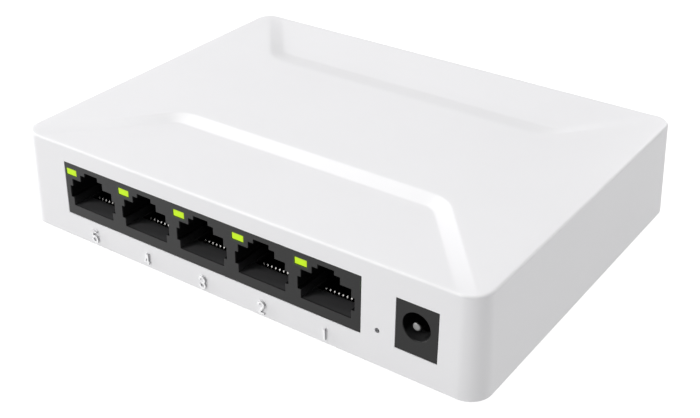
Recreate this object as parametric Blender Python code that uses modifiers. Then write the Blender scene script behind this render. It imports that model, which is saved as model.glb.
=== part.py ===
"""Desktop network switch with five ports, modelled as an assembly of separate pieces.

Units are metres and +Z is up. The ports face -Y. The origin is on the table, under the
middle of the case. Heights are given above the underside of the case, and depths are
given behind the front edge of the lid.
"""
import math

import bmesh
import bpy
from mathutils import Matrix, Vector

# Case
FOOT_STANDOFF = 0.0010
CASE_HEIGHT = 0.0227
LID_WIDTH = 0.1175
LID_DEPTH = 0.0865
WALL_FLARE = 0.00086
CORNER_RADIUS = 0.0046
WALL = 0.0018
LID_THICKNESS = 0.0024
EDGE_ROUND = 0.00055
GAP = 0.0003

# Sloping recesses in the lid: one at the front, one at the back
RIDGE_HALF_WIDTH = 0.05815
VALLEY_HALF_WIDTH = 0.05365
RECESS_TAPER = 0.8318
RECESS_DEPTH = 0.0009
RECESS_EDGE_SHARE = 0.14
FRONT_RIDGE, FRONT_VALLEY = 0.0274, 0.0236
BACK_RIDGE, BACK_VALLEY = 0.0239, 0.0182
RIDGE_RADIUS = 0.0080
VALLEY_RADIUS = 0.0045

# Ports, from the left: the first opening, then one every pitch
PORT_COUNT = 5
PORT_PITCH = 0.01575
PORTS_CENTRE = -0.00639
PORT_WINDOW_X = -0.00629
PORT_WINDOW_WIDTH = 0.07924
PORT_WINDOW_LOW, PORT_WINDOW_HIGH = 0.00592, 0.01858
PORT_FLOOR = 0.00835
PORT_STEPS = {
    "plug_openings": (PORT_FLOOR, 0.01489, 0.00596),
    "side_notches": (0.01027, 0.01309, 0.00676),
    "latch_shoulders": (0.01400, 0.01645, 0.00335),
    "latch_notches": (0.01600, 0.01742, 0.00196),
}
PORT_DEPTH = 0.0141
BLOCK_DEPTH = 0.0166
FACE_SETBACK = 0.00005

# Contact springs
CONTACT_COUNT = 8
CONTACT_PITCH = 0.00102
CONTACT_WIDTH = 0.00036
CONTACT_THICKNESS = 0.00030
CONTACT_RUN_HEIGHT = 0.00715
CONTACT_NOSE = ((0.00490, 0.00715), (0.00455, 0.00760), (0.00480, 0.00870))
CONTACT_END = (0.0130, 0.0098)
WELL_FRONT, WELL_BACK = 0.0041, 0.0140
WELL_HALF_WIDTH = 0.0055
WELL_LOW = 0.0068
PIN_WELL_FRONT, PIN_WELL_BACK = 0.0101, 0.0139
CARRIER_WIDTH = 0.0080
CARRIER_DEPTHS = (0.0104, 0.0136)
CARRIER_HEIGHTS = (0.0063, 0.0078)
PIN_ROWS = (0.0112, 0.0128)
PIN_BOTTOM = 0.0035
PIN_SLOT = 0.00042

# Port lights
LIGHT_OFFSET = -0.00598
LIGHT_WIDTH = 0.00290
LIGHT_LOW, LIGHT_HIGH = 0.01571, 0.01717
LIGHT_LENGTH = 0.0070
LEG_OFFSETS = (-0.0007, 0.0007)
LEG_THICKNESS = 0.0005
LEG_DEPTH = BLOCK_DEPTH + 0.0010

# Power jack
JACK_X = 0.04570
JACK_WINDOW_WIDTH = 0.00927
JACK_WINDOW_LOW, JACK_WINDOW_HIGH = 0.00596, 0.01703
JACK_BORE_X = 0.04560
JACK_BORE_HEIGHT = 0.01227
JACK_BORE_RADIUS = 0.0030
JACK_BORE_DEPTH = 0.0100
JACK_DEPTH = 0.0142
JACK_PIN_RADIUS = 0.00095
JACK_PIN_ROUND = 0.0003
JACK_PIN_CLEARANCE = 0.0003

JACK_SPRING_WIDTH = 0.0024
JACK_SPRING_THICKNESS = 0.00035
JACK_SPRING_ROOT_HEIGHT = 0.0072
JACK_SPRING_BENDS = ((0.0046, 0.0076), (0.0042, 0.0083), (0.0068, 0.0098), (0.0094, 0.0092))
JACK_SLOT_HALF_WIDTH = 0.0016
JACK_SLOT_DEPTHS = (0.0032, 0.0124)
JACK_SLOT_HIGH = 0.0099
JACK_TAIL_HALF_WIDTH = 0.0012
JACK_TAIL_THICKNESS = 0.0004
JACK_TERMINAL_DEPTHS = (0.0115, 0.0152)

# Power light and its pinhole
PINHOLE_X = 0.03710
PINHOLE_HEIGHT = 0.0081
PINHOLE_RADIUS = 0.00055
LAMP_DEPTH = 0.0058
LAMP_HALF_WIDTH, LAMP_HALF_LENGTH, LAMP_RISE = 0.0008, 0.0005, 0.0009
GUIDE_WIDTH = 0.0018

# Raised port numerals on the front wall: strokes drawn as (X, height) from the numeral's middle
NUMERAL_HEIGHT = 0.00235
NUMERAL_STROKE = 0.00046
NUMERAL_RELIEF = 0.00045
NUMERAL_SUNK = 0.0003

# Circuit board
BOARD_WIDTH = 0.1080
BOARD_FRONT, BOARD_BACK = 0.0016, 0.0660
BOARD_LOW, BOARD_TOP = 0.0043, 0.0059

# Bottom cover and fasteners
PLATE = 0.0020
FOOT_X, FOOT_Y = 0.0460, 0.0300
FOOT_RADIUS = 0.0050
POCKET_DEPTH = 0.0005
CASE_SCREW_X, CASE_SCREW_Y = 0.0520, 0.0373
BOARD_SCREW_X, BOARD_SCREW_Y = 0.0480, 0.0170
SCREW_RADIUS = 0.0010
BORE_RADIUS = 0.0013
CASE_POST_RADIUS, CASE_POST_LOW = 0.0030, 0.0048
CASE_TOWER_RADIUS, CASE_TOWER_TOP = 0.0040, 0.0045
CASE_SCREW_SEAT = 0.0021
HEAD_POCKET_RADIUS, HEAD_POCKET_TOP = 0.0027, 0.0024
BOARD_POST_RADIUS = 0.0026
PLAIN_POSTS = ((-0.048, -0.026), (0.030, -0.008))
HOOK_ROWS = (-0.022, 0.014)
HOOK_WIDTH = 0.006
HOOK_PROFILE = (
    (0.0550, 0.0010), (0.0562, 0.0010), (0.0562, 0.0079), (0.0569, 0.0079),
    (0.0569, 0.0083), (0.0562, 0.0100), (0.0550, 0.0100),
)
LEDGE_INNER, LEDGE_OUTER = 0.0565, 0.0585
LEDGE_HALF_WIDTH = 0.0035
LEDGE_LOW, LEDGE_HIGH = 0.0066, 0.0076
KEYHOLE_X = 0.0275
KEYHOLE_ENTRY_Y, KEYHOLE_SLOT_Y = 0.002, -0.0065
KEYHOLE_ENTRY_RADIUS, KEYHOLE_SLOT_HALF_WIDTH = 0.0035, 0.00175
VENT_COUNT, VENT_PITCH = 9, 0.0040
VENT_ROWS = (-0.026, 0.028)
VENT_HALF_WIDTH, VENT_HALF_LENGTH = 0.0006, 0.0060
LABEL_HALF_WIDTH = 0.0200
LABEL_FRONT, LABEL_BACK = -0.0090, 0.0140
LABEL_THICKNESS = 0.0002

# How far a cutter runs past the surface that it cuts
OVERCUT = 0.002


def height(above_base):
    """World Z of a height above the underside of the case."""
    return FOOT_STANDOFF + above_base


def behind(depth):
    """World Y of a depth behind the front edge of the lid."""
    return depth - LID_DEPTH / 2


def port_x(index):
    """World X of a port's centre, counted from the left."""
    return PORTS_CENTRE + (index - (PORT_COUNT - 1) / 2) * PORT_PITCH


def wall_front(above_base):
    """World Y of the leaning front wall's outer face at a height above the case's underside."""
    return behind(0) - WALL_FLARE * (1 - above_base / CASE_HEIGHT)


# ---------------------------------------------------------------- mesh helpers

def finished(bm, name):
    """Turn a bmesh into a mesh with its faces pointing out."""
    bmesh.ops.recalc_face_normals(bm, faces=bm.faces)
    mesh = bpy.data.meshes.new(name)
    bm.to_mesh(mesh)
    bm.free()
    return mesh


def add_box(bm, low, high):
    """Add a box between two corners."""
    low = Vector(low)
    high = Vector(high)
    size = Matrix.Diagonal((*(high - low), 1.0))
    bmesh.ops.create_cube(bm, size=1.0, matrix=Matrix.Translation((low + high) / 2) @ size)


def add_cylinder(bm, centre, radius, low, high, sides=20):
    """Add an upright cylinder from one Z to another."""
    middle = Matrix.Translation((centre[0], centre[1], (low + high) / 2))
    bmesh.ops.create_cone(bm, cap_ends=True, segments=sides, radius1=radius, radius2=radius,
                          depth=high - low, matrix=middle)


def boxes(name, corners):
    """Mesh of several boxes, each given as its lowest and highest corner."""
    bm = bmesh.new()
    for low, high in corners:
        add_box(bm, low, high)
    return finished(bm, name)


def cylinders(name, centres, radius, low, high, sides=20):
    """Mesh of several equal upright cylinders."""
    bm = bmesh.new()
    for centre in centres:
        add_cylinder(bm, centre, radius, low, high, sides)
    return finished(bm, name)


def baked(obj):
    """Mesh of an object as its modifiers leave it, with loose caps welded; removes the object."""
    bpy.context.view_layer.update()
    graph = bpy.context.evaluated_depsgraph_get()
    mesh = bpy.data.meshes.new_from_object(obj.evaluated_get(graph))
    bm = bmesh.new()
    bm.from_mesh(mesh)
    bmesh.ops.remove_doubles(bm, verts=bm.verts, dist=1e-6)
    bmesh.ops.recalc_face_normals(bm, faces=bm.faces)
    bm.to_mesh(mesh)
    bm.free()
    bpy.data.objects.remove(obj)
    return mesh


def outline_mesh(name, points, thickness, matrix=Matrix()):
    """Flat outline drawn in XY, given a thickness along Z, then moved by a matrix."""
    curve = bpy.data.curves.new(name, "CURVE")
    curve.dimensions = "2D"
    curve.fill_mode = "BOTH"
    curve.extrude = thickness / 2
    spline = curve.splines.new("POLY")
    spline.points.add(len(points) - 1)
    for point, (x, y) in zip(spline.points, points):
        point.co = (x, y, 0.0, 1.0)
    spline.use_cyclic_u = True
    holder = bpy.data.objects.new(name, curve)
    bpy.context.scene.collection.objects.link(holder)
    mesh = baked(holder)
    mesh.transform(matrix)
    mesh.name = name
    return mesh


def side_view(x):
    """Matrix that stands an outline drawn as (depth, height) in the plane of one X."""
    return Matrix(((0, 0, 1, x), (1, 0, 0, 0), (0, 1, 0, 0), (0, 0, 0, 1)))


def front_view(y):
    """Matrix that stands an outline drawn as (X, height) in the plane of one Y."""
    return Matrix(((1, 0, 0, 0), (0, 0, -1, y), (0, 1, 0, 0), (0, 0, 0, 1)))


def turned(name, profile, steps=16):
    """Solid of revolution about Z from (radius, Z) points that run from top to bottom."""
    mesh = bpy.data.meshes.new(name)
    points = [(radius, 0.0, z) for radius, z in profile]
    mesh.from_pydata(points, [(i, i + 1) for i in range(len(points) - 1)], [])
    holder = bpy.data.objects.new(name, mesh)
    bpy.context.scene.collection.objects.link(holder)
    screw = holder.modifiers.new("Turn", "SCREW")
    screw.steps = steps
    screw.render_steps = steps
    screw.use_merge_vertices = True
    screw.merge_threshold = 0.00001
    return baked(holder)


def merged(name, meshes):
    """One mesh holding several, still separate bodies."""
    bm = bmesh.new()
    for mesh in meshes:
        bm.from_mesh(mesh)
    result = bpy.data.meshes.new(name)
    bm.to_mesh(result)
    bm.free()
    return result


def strip_outline(path, thickness):
    """Outline of a bent strip of even thickness that follows a path."""
    points = [Vector(point) for point in path]
    left = []
    right = []
    for i, point in enumerate(points):
        before = points[max(i - 1, 0)]
        after = points[min(i + 1, len(points) - 1)]
        into = (point - before).normalized() if i > 0 else (after - point).normalized()
        out = (after - point).normalized() if i < len(points) - 1 else into
        side = (into.orthogonal() + out.orthogonal()).normalized()
        reach = thickness / 2 / max(side.dot(into.orthogonal()), 0.4)
        left.append(point + side * reach)
        right.append(point - side * reach)
    return [tuple(point) for point in left + right[::-1]]


def combined(name, base, operand, operation):
    """Bake one Boolean between two meshes into a new mesh."""
    holder = bpy.data.objects.new(name, base)
    other = bpy.data.objects.new(name + "_operand", operand)
    for obj in (holder, other):
        bpy.context.scene.collection.objects.link(obj)
    boolean = holder.modifiers.new(operation.title(), "BOOLEAN")
    boolean.operation = operation
    boolean.object = other
    mesh = baked(holder)
    bpy.data.objects.remove(other)
    mesh.name = name
    return mesh


# ---------------------------------------------------------------- objects and materials

def material(name, color, roughness, metallic=0.0):
    """Principled material of one piece."""
    result = bpy.data.materials.new(name)
    result.use_nodes = True
    shader = result.node_tree.nodes["Principled BSDF"]
    shader.inputs["Base Color"].default_value = (*color, 1.0)
    shader.inputs["Roughness"].default_value = roughness
    shader.inputs["Metallic"].default_value = metallic
    result.diffuse_color = (*color, 1.0)
    return result


def place(name, mesh, finish, location=(0, 0, 0), rotation=(0, 0, 0)):
    """Add one named piece to the switch."""
    obj = bpy.data.objects.new(name, mesh)
    switch_parts.objects.link(obj)
    obj.parent = switch_root
    obj.location = location
    obj.rotation_euler = rotation
    if not mesh.materials:
        mesh.materials.append(finish)
    mesh.shade_smooth()
    mesh.set_sharp_from_angle(angle=math.radians(30))
    return obj


def boolean(obj, name, mesh, operation="DIFFERENCE"):
    """Cut a hidden tool out of a piece, or join it on."""
    tool = bpy.data.objects.new(name, mesh)
    cutters.objects.link(tool)
    tool.hide_render = True
    tool.display_type = "WIRE"
    modifier = obj.modifiers.new(name, "BOOLEAN")
    modifier.operation = operation
    modifier.object = tool


# ---------------------------------------------------------------- case

def add_case_block(bm, inset, low, high, lid_round=0.0):
    """Add a block with the case's rounded outline and leaning walls, inset all round."""
    lean = WALL_FLARE / CASE_HEIGHT
    bmesh.ops.create_cube(bm, size=1.0)
    for vert in bm.verts:
        z = high if vert.co.z > 0 else low
        grow = lean * (height(CASE_HEIGHT) - z) - inset
        vert.co.x = math.copysign(LID_WIDTH / 2 + grow, vert.co.x)
        vert.co.y = math.copysign(LID_DEPTH / 2 + grow, vert.co.y)
        vert.co.z = z
    middle = (low + high) / 2
    upright = [edge for edge in bm.edges
               if (edge.verts[0].co.z - middle) * (edge.verts[1].co.z - middle) < 0]
    bmesh.ops.bevel(bm, geom=upright, offset=CORNER_RADIUS - inset, segments=5,
                    affect="EDGES", profile=0.5)
    if lid_round:
        rim = [edge for edge in bm.edges
               if min(edge.verts[0].co.z, edge.verts[1].co.z) > high - 1e-6]
        bmesh.ops.bevel(bm, geom=rim, offset=lid_round, segments=2,
                        affect="EDGES", profile=0.5)


def case_block(name, inset, low, high, lid_round=0.0):
    """Mesh of one block with the case's outline."""
    bm = bmesh.new()
    add_case_block(bm, inset, low, high, lid_round)
    return finished(bm, name)


def rounded_corner(before, corner, after, radius, segments=5):
    """Points of the arc that rounds one corner of an outline."""
    into = (before - corner).normalized()
    out = (after - corner).normalized()
    half = into.angle(out) / 2
    centre = corner + (into + out).normalized() * (radius / math.sin(half))
    start = (corner + into * (radius / math.tan(half)) - centre).normalized()
    end = (corner + out * (radius / math.tan(half)) - centre).normalized()
    return [centre + start.slerp(end, step / segments) * radius for step in range(segments + 1)]


def recess_outline(half_width, reach, radius):
    """Half-trapezoid of a lid recess as (X, distance from the lid's edge), left to right."""
    overrun = -0.0020
    inner_half = half_width - RECESS_TAPER * reach
    outer_half = half_width - RECESS_TAPER * overrun
    ends = [Vector((-outer_half, overrun)), Vector((-inner_half, reach)),
            Vector((inner_half, reach)), Vector((outer_half, overrun))]
    left = rounded_corner(ends[0], ends[1], ends[2], radius)
    right = rounded_corner(ends[1], ends[2], ends[3], radius)
    return [ends[0]] + left + right + [ends[3]]


def recess_cutter(name, ridge, valley, facing):
    """Solid that cuts one sloping recess; facing is -1 at the front and 1 at the back."""
    lid = height(CASE_HEIGHT)
    floor = recess_outline(VALLEY_HALF_WIDTH, valley, VALLEY_RADIUS)
    rim = recess_outline(RIDGE_HALF_WIDTH, ridge, RIDGE_RADIUS)

    def fall(reach):
        return RECESS_DEPTH * (RECESS_EDGE_SHARE + (1 - RECESS_EDGE_SHARE) * reach / valley)

    def ring(outline, level):
        return [bm.verts.new((x, facing * (LID_DEPTH / 2 - reach), level(reach)))
                for x, reach in outline]

    bm = bmesh.new()
    rings = [
        ring(floor, lambda reach: lid - fall(reach)),
        ring(rim, lambda reach: lid),
        ring(rim, lambda reach: lid + RECESS_DEPTH),
    ]
    count = len(floor)
    for lower, upper in zip(rings, rings[1:]):
        for i in range(count):
            j = (i + 1) % count
            bm.faces.new((lower[i], lower[j], upper[j], upper[i]))
    bm.faces.new(rings[0])
    bm.faces.new(rings[-1])
    return finished(bm, name)


def case_screw_centres():
    return [(side * CASE_SCREW_X, CASE_SCREW_Y) for side in (-1, 1)]


def board_screw_centres():
    return [(side * BOARD_SCREW_X, BOARD_SCREW_Y) for side in (-1, 1)]


def foot_centres():
    return [(x, y) for y in (-FOOT_Y, FOOT_Y) for x in (-FOOT_X, FOOT_X)]


def make_top_cover(finish):
    """Lid and four walls, open below, with windows for the ports, jack and power light."""
    lid_underside = height(CASE_HEIGHT - LID_THICKNESS)
    cover = place("top_cover",
                  case_block("top_cover", 0.0, height(0), height(CASE_HEIGHT), EDGE_ROUND), finish)
    boolean(cover, "cover_cavity", case_block("cover_cavity", WALL, -OVERCUT, lid_underside))
    boolean(cover, "front_recess", recess_cutter("front_recess", FRONT_RIDGE, FRONT_VALLEY, -1))
    boolean(cover, "back_recess", recess_cutter("back_recess", BACK_RIDGE, BACK_VALLEY, 1))
    half = PORT_WINDOW_WIDTH / 2
    through = WALL + OVERCUT
    windows = boxes("windows", [
        ((PORT_WINDOW_X - half, behind(-through), height(PORT_WINDOW_LOW)),
         (PORT_WINDOW_X + half, behind(through), height(PORT_WINDOW_HIGH))),
        ((JACK_X - JACK_WINDOW_WIDTH / 2, behind(-through), height(JACK_WINDOW_LOW)),
         (JACK_X + JACK_WINDOW_WIDTH / 2, behind(through), height(JACK_WINDOW_HIGH))),
    ])
    boolean(cover, "windows", windows)
    pinhole = cylinders("pinhole", [(0, 0)], PINHOLE_RADIUS, -through, through, 12)
    pinhole.transform(Matrix.Translation((PINHOLE_X, behind(0), height(PINHOLE_HEIGHT)))
                      @ Matrix.Rotation(math.pi / 2, 4, "X"))
    boolean(cover, "pinhole", pinhole)
    boolean(cover, "screw_posts",
            cylinders("screw_posts", case_screw_centres(), CASE_POST_RADIUS,
                      height(CASE_POST_LOW), lid_underside + LID_THICKNESS / 3), "UNION")
    boolean(cover, "post_bores",
            cylinders("post_bores", case_screw_centres(), BORE_RADIUS,
                      height(CASE_POST_LOW) - OVERCUT, height(0.0130), 12))
    boolean(cover, "hook_ledges", boxes("hook_ledges", [
        ((min(side * LEDGE_INNER, side * LEDGE_OUTER), y - LEDGE_HALF_WIDTH, height(LEDGE_LOW)),
         (max(side * LEDGE_INNER, side * LEDGE_OUTER), y + LEDGE_HALF_WIDTH, height(LEDGE_HIGH)))
        for side in (-1, 1) for y in HOOK_ROWS]), "UNION")
    first_strokes, second_strokes = numeral_strokes()
    boolean(cover, "numeral_first_strokes", first_strokes, "UNION")
    boolean(cover, "numeral_second_strokes", second_strokes, "UNION")


def arc(centre, radii, start, end, count):
    """Points of an elliptical arc, with its angles in degrees."""
    angles = [math.radians(start + (end - start) * i / count) for i in range(count + 1)]
    return [(centre[0] + radii[0] * math.cos(angle), centre[1] + radii[1] * math.sin(angle))
            for angle in angles]


def numeral_paths():
    """Centre lines of the two strokes of each numeral from 5 to 1, in the ports' order."""
    half = 0.00070
    top = 0.00127
    bowl = (0.00070, 0.00078)
    lower = (0.0, bowl[1] - top)
    upper_radii = (0.00066, 0.00062)
    upper = (0.0, top - upper_radii[1])
    lower_radii = (0.00070, 0.00066)
    return [
        ([(half, top), (-half * 0.8, top), (-half * 0.8, 0.0)],
         arc(lower, bowl, 125, -185, 11)),
        ([(half, -0.55 * top), (-half, -0.55 * top), (half * 0.30, top)],
         [(half * 0.38, top), (half * 0.38, -top)]),
        (arc(upper, upper_radii, 190, -85, 10),
         arc((0.0, lower_radii[1] - top), lower_radii, 88, -190, 10)),
        (arc(upper, upper_radii, 195, -30, 8) + [(-half * 0.9, -top)],
         [(-half, -top), (half, -top)]),
        ([(0.0, top), (0.0, -top)], None),
    ]


def numeral_strokes():
    """First and second strokes of the five numerals, each a raised rib on the leaning wall."""
    lean = math.atan(WALL_FLARE / CASE_HEIGHT)
    strokes = ([], [])
    for index, paths in enumerate(numeral_paths()):
        stand = (Matrix.Translation((port_x(index), wall_front(NUMERAL_HEIGHT),
                                     height(NUMERAL_HEIGHT)))
                 @ Matrix.Rotation(lean, 4, "X") @ front_view(0)
                 @ Matrix.Translation((0, 0, (NUMERAL_RELIEF - NUMERAL_SUNK) / 2)))
        for group, path in zip(strokes, paths):
            if path:
                group.append(outline_mesh("stroke", strip_outline(path, NUMERAL_STROKE),
                                          NUMERAL_RELIEF + NUMERAL_SUNK, stand))
    return [merged("numeral_strokes", group) for group in strokes]


def side_hooks():
    """Upright snap hooks on the bottom cover, as (X, height) outlines with a barb."""
    hooks = []
    for side in (-1, 1):
        for y in HOOK_ROWS:
            points = [(side * x, height(z)) for x, z in HOOK_PROFILE]
            hooks.append(outline_mesh("hook", points, HOOK_WIDTH, front_view(y)))
    return merged("side_hooks", hooks)


def keyholes():
    """Two keyhole openings: a round entry with a narrow slot towards the front."""
    top = height(PLATE) + OVERCUT
    sides = (-KEYHOLE_X, KEYHOLE_X)
    entries = cylinders("keyhole_entries", [(x, KEYHOLE_ENTRY_Y) for x in sides],
                        KEYHOLE_ENTRY_RADIUS, -OVERCUT, top, 16)
    slots = boxes("keyhole_slots", [
        ((x - KEYHOLE_SLOT_HALF_WIDTH, KEYHOLE_SLOT_Y, -OVERCUT),
         (x + KEYHOLE_SLOT_HALF_WIDTH, KEYHOLE_ENTRY_Y, top))
        for x in sides])
    return combined("keyholes", entries, slots, "UNION")


def make_bottom_cover(finish):
    """Plate let into the skirt of the top cover, with posts, hooks, vents and pockets."""
    plate = case_block("bottom_cover", WALL + GAP, height(0), height(PLATE))
    cover = place("bottom_cover", plate, finish)
    sunk = height(PLATE - 0.0005)
    through = height(PLATE) + OVERCUT
    board_rest = height(BOARD_LOW) - GAP
    boolean(cover, "board_posts",
            cylinders("board_posts", board_screw_centres() + list(PLAIN_POSTS),
                      BOARD_POST_RADIUS, sunk, board_rest, 16), "UNION")
    boolean(cover, "screw_towers",
            cylinders("screw_towers", case_screw_centres(), CASE_TOWER_RADIUS, sunk,
                      height(CASE_TOWER_TOP)), "UNION")
    boolean(cover, "side_hooks", side_hooks(), "UNION")
    boolean(cover, "board_pilots",
            cylinders("board_pilots", board_screw_centres(), BORE_RADIUS, height(PLATE / 2),
                      board_rest + OVERCUT, 12))
    boolean(cover, "screw_heads",
            cylinders("screw_heads", case_screw_centres(), HEAD_POCKET_RADIUS, -OVERCUT,
                      height(HEAD_POCKET_TOP), 16))
    boolean(cover, "screw_holes",
            cylinders("screw_holes", case_screw_centres(), BORE_RADIUS, height(PLATE / 2),
                      height(CASE_TOWER_TOP) + OVERCUT, 12))
    boolean(cover, "foot_pockets",
            cylinders("foot_pockets", foot_centres(), FOOT_RADIUS + GAP, -OVERCUT,
                      height(POCKET_DEPTH)))
    boolean(cover, "keyholes", keyholes())
    columns = [(i - (VENT_COUNT - 1) / 2) * VENT_PITCH for i in range(VENT_COUNT)]
    boolean(cover, "vents", boxes("vents", [
        ((x - VENT_HALF_WIDTH, y - VENT_HALF_LENGTH, -OVERCUT),
         (x + VENT_HALF_WIDTH, y + VENT_HALF_LENGTH, through))
        for x in columns for y in VENT_ROWS]))
    boolean(cover, "label_panel", boxes("label_panel", [
        ((-LABEL_HALF_WIDTH - GAP, LABEL_FRONT - GAP, -OVERCUT),
         (LABEL_HALF_WIDTH + GAP, LABEL_BACK + GAP, height(POCKET_DEPTH)))]))


def make_label(finish):
    """Blank rating label in its shallow panel under the case."""
    place("rating_label", boxes("rating_label", [
        ((-LABEL_HALF_WIDTH, LABEL_FRONT, height(0.0)),
         (LABEL_HALF_WIDTH, LABEL_BACK, height(LABEL_THICKNESS)))]), finish)


def make_feet(finish):
    """Four round rubber pads, each half sunk in its pocket."""
    top = height(POCKET_DEPTH) - GAP
    profile = [(0.0, top), (FOOT_RADIUS, top), (FOOT_RADIUS, 0.0003),
               (FOOT_RADIUS - 0.0004, 0.0), (0.0, 0.0)]
    mesh = turned("foot", profile, 20)
    names = ("foot_front_left", "foot_front_right", "foot_rear_left", "foot_rear_right")
    for name, (x, y) in zip(names, foot_centres()):
        place(name, mesh, finish, (x, y, 0))


# ---------------------------------------------------------------- fasteners

def screw_mesh(name, length, head_radius, head_height):
    """Pan-head screw, head up, seated at Z = 0, with a cross recess and a pointed tip."""
    profile = [
        (0.0, head_height), (head_radius * 0.72, head_height),
        (head_radius, head_height * 0.55), (head_radius, 0.0), (SCREW_RADIUS, 0.0),
        (SCREW_RADIUS, -length + 0.0012), (0.0, -length),
    ]
    wide = head_radius * 0.55
    root = wide * 0.26
    end = wide * 0.18
    cross = []
    for turn in range(4):
        arm = Matrix.Rotation(turn * math.pi / 2, 2)
        cross += [tuple(arm @ Vector(point)) for point in ((root, root), (end, wide), (-end, wide))]
    recess = outline_mesh("recess", cross, head_height * 1.2, Matrix.Translation((0, 0, head_height)))
    return combined(name, turned(name, profile), recess, "DIFFERENCE")


def make_screws(finish):
    """Two case screws driven from below, and two board screws driven from above."""
    case_mesh = screw_mesh("case_screw", 0.0095, 0.0023, 0.0015)
    board_mesh = screw_mesh("board_screw", 0.0042, 0.0020, 0.0013)
    for side, (x, y) in zip(("left", "right"), case_screw_centres()):
        place("case_screw_" + side, case_mesh, finish, (x, y, height(CASE_SCREW_SEAT)),
              (math.pi, 0, 0))
    for side, (x, y) in zip(("left", "right"), board_screw_centres()):
        place("board_screw_" + side, board_mesh, finish, (x, y, height(BOARD_TOP) + GAP))


# ---------------------------------------------------------------- ports

def contact_offsets():
    """X of each contact from its port's centre."""
    return [(i - (CONTACT_COUNT - 1) / 2) * CONTACT_PITCH for i in range(CONTACT_COUNT)]


def faced_block(name, centre, half_width, low, high, depth):
    """Block whose front face leans with the front wall, drawn as its side outline."""
    outline = [(wall_front(low) + FACE_SETBACK, height(low)), (behind(depth), height(low)),
               (behind(depth), height(high)), (wall_front(high) + FACE_SETBACK, height(high))]
    return outline_mesh(name, outline, 2 * half_width, side_view(centre))


def make_port_block(finish):
    """Five-way socket housing with stepped openings, contact wells and light channels."""
    front = wall_front(0)
    block = place("port_block", faced_block(
        "port_block", PORT_WINDOW_X, PORT_WINDOW_WIDTH / 2 - GAP, BOARD_TOP + GAP,
        PORT_WINDOW_HIGH - GAP, BLOCK_DEPTH), finish)
    for step, (low, top, half_width) in PORT_STEPS.items():
        boolean(block, step, boxes(step, [
            ((port_x(index) - half_width, front - OVERCUT, height(low)),
             (port_x(index) + half_width, behind(PORT_DEPTH), height(top)))
            for index in range(PORT_COUNT)]))
    wells = []
    pin_wells = []
    channels = []
    for index in range(PORT_COUNT):
        x = port_x(index)
        reach = CARRIER_WIDTH / 2 + GAP
        wells.append(((x - WELL_HALF_WIDTH, behind(WELL_FRONT), height(WELL_LOW)),
                      (x + WELL_HALF_WIDTH, behind(WELL_BACK), height(PORT_FLOOR + 0.001))))
        pin_wells.append(((x - reach, behind(PIN_WELL_FRONT), height(BOARD_TOP) - OVERCUT),
                          (x + reach, behind(PIN_WELL_BACK), height(WELL_LOW + 0.001))))
        side = LIGHT_WIDTH / 2 + GAP
        channels.append(((x + LIGHT_OFFSET - side, front - OVERCUT,
                          height(LIGHT_LOW) - GAP),
                         (x + LIGHT_OFFSET + side, behind(BLOCK_DEPTH) + OVERCUT,
                          height(LIGHT_HIGH) + GAP)))
    boolean(block, "contact_wells", boxes("contact_wells", wells))
    boolean(block, "pin_wells", boxes("pin_wells", pin_wells))
    boolean(block, "light_channels", boxes("light_channels", channels))


def contact_mesh():
    """Eight bent spring wires held by one carrier bar, drawn at X = 0."""
    wires = []
    for i, x in enumerate(contact_offsets()):
        pin = behind(PIN_ROWS[i % 2])
        path = [(pin, height(PIN_BOTTOM)), (pin, height(CONTACT_RUN_HEIGHT))]
        path += [(behind(depth), height(rise)) for depth, rise in (*CONTACT_NOSE, CONTACT_END)]
        wires.append(outline_mesh("wire", strip_outline(path, CONTACT_THICKNESS),
                                  CONTACT_WIDTH, side_view(x)))
    half = CARRIER_WIDTH / 2
    carrier = boxes("carrier", [
        ((-half, behind(CARRIER_DEPTHS[0]), height(CARRIER_HEIGHTS[0])),
         (half, behind(CARRIER_DEPTHS[1]), height(CARRIER_HEIGHTS[1])))])
    return combined("port_contacts", carrier, merged("wires", wires), "UNION")


def light_mesh():
    """Port light: a bar behind the face with two legs that run back and down to the board."""
    half = LIGHT_WIDTH / 2
    front = wall_front(LIGHT_HIGH) + FACE_SETBACK
    bar = boxes("light_bar", [((-half, front, height(LIGHT_LOW)),
                               (half, front + LIGHT_LENGTH, height(LIGHT_HIGH)))])
    middle = height((LIGHT_LOW + LIGHT_HIGH) / 2)
    path = [(front + LIGHT_LENGTH - 0.001, middle), (behind(LEG_DEPTH), middle),
            (behind(LEG_DEPTH), height(PIN_BOTTOM))]
    legs = [outline_mesh("leg", strip_outline(path, LEG_THICKNESS), LEG_THICKNESS, side_view(x))
            for x in LEG_OFFSETS]
    return combined("port_light", bar, merged("legs", legs), "UNION")


def make_port_fittings(contact_finish, light_finish):
    """Contact set and light of each port; port 5 is at the left and port 1 at the right."""
    contacts = contact_mesh()
    light = light_mesh()
    for index in range(PORT_COUNT):
        number = PORT_COUNT - index
        place(f"port_{number}_contacts", contacts, contact_finish, (port_x(index), 0, 0))
        place(f"port_{number}_light", light, light_finish, (port_x(index) + LIGHT_OFFSET, 0, 0))


# ---------------------------------------------------------------- power jack and light

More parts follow.
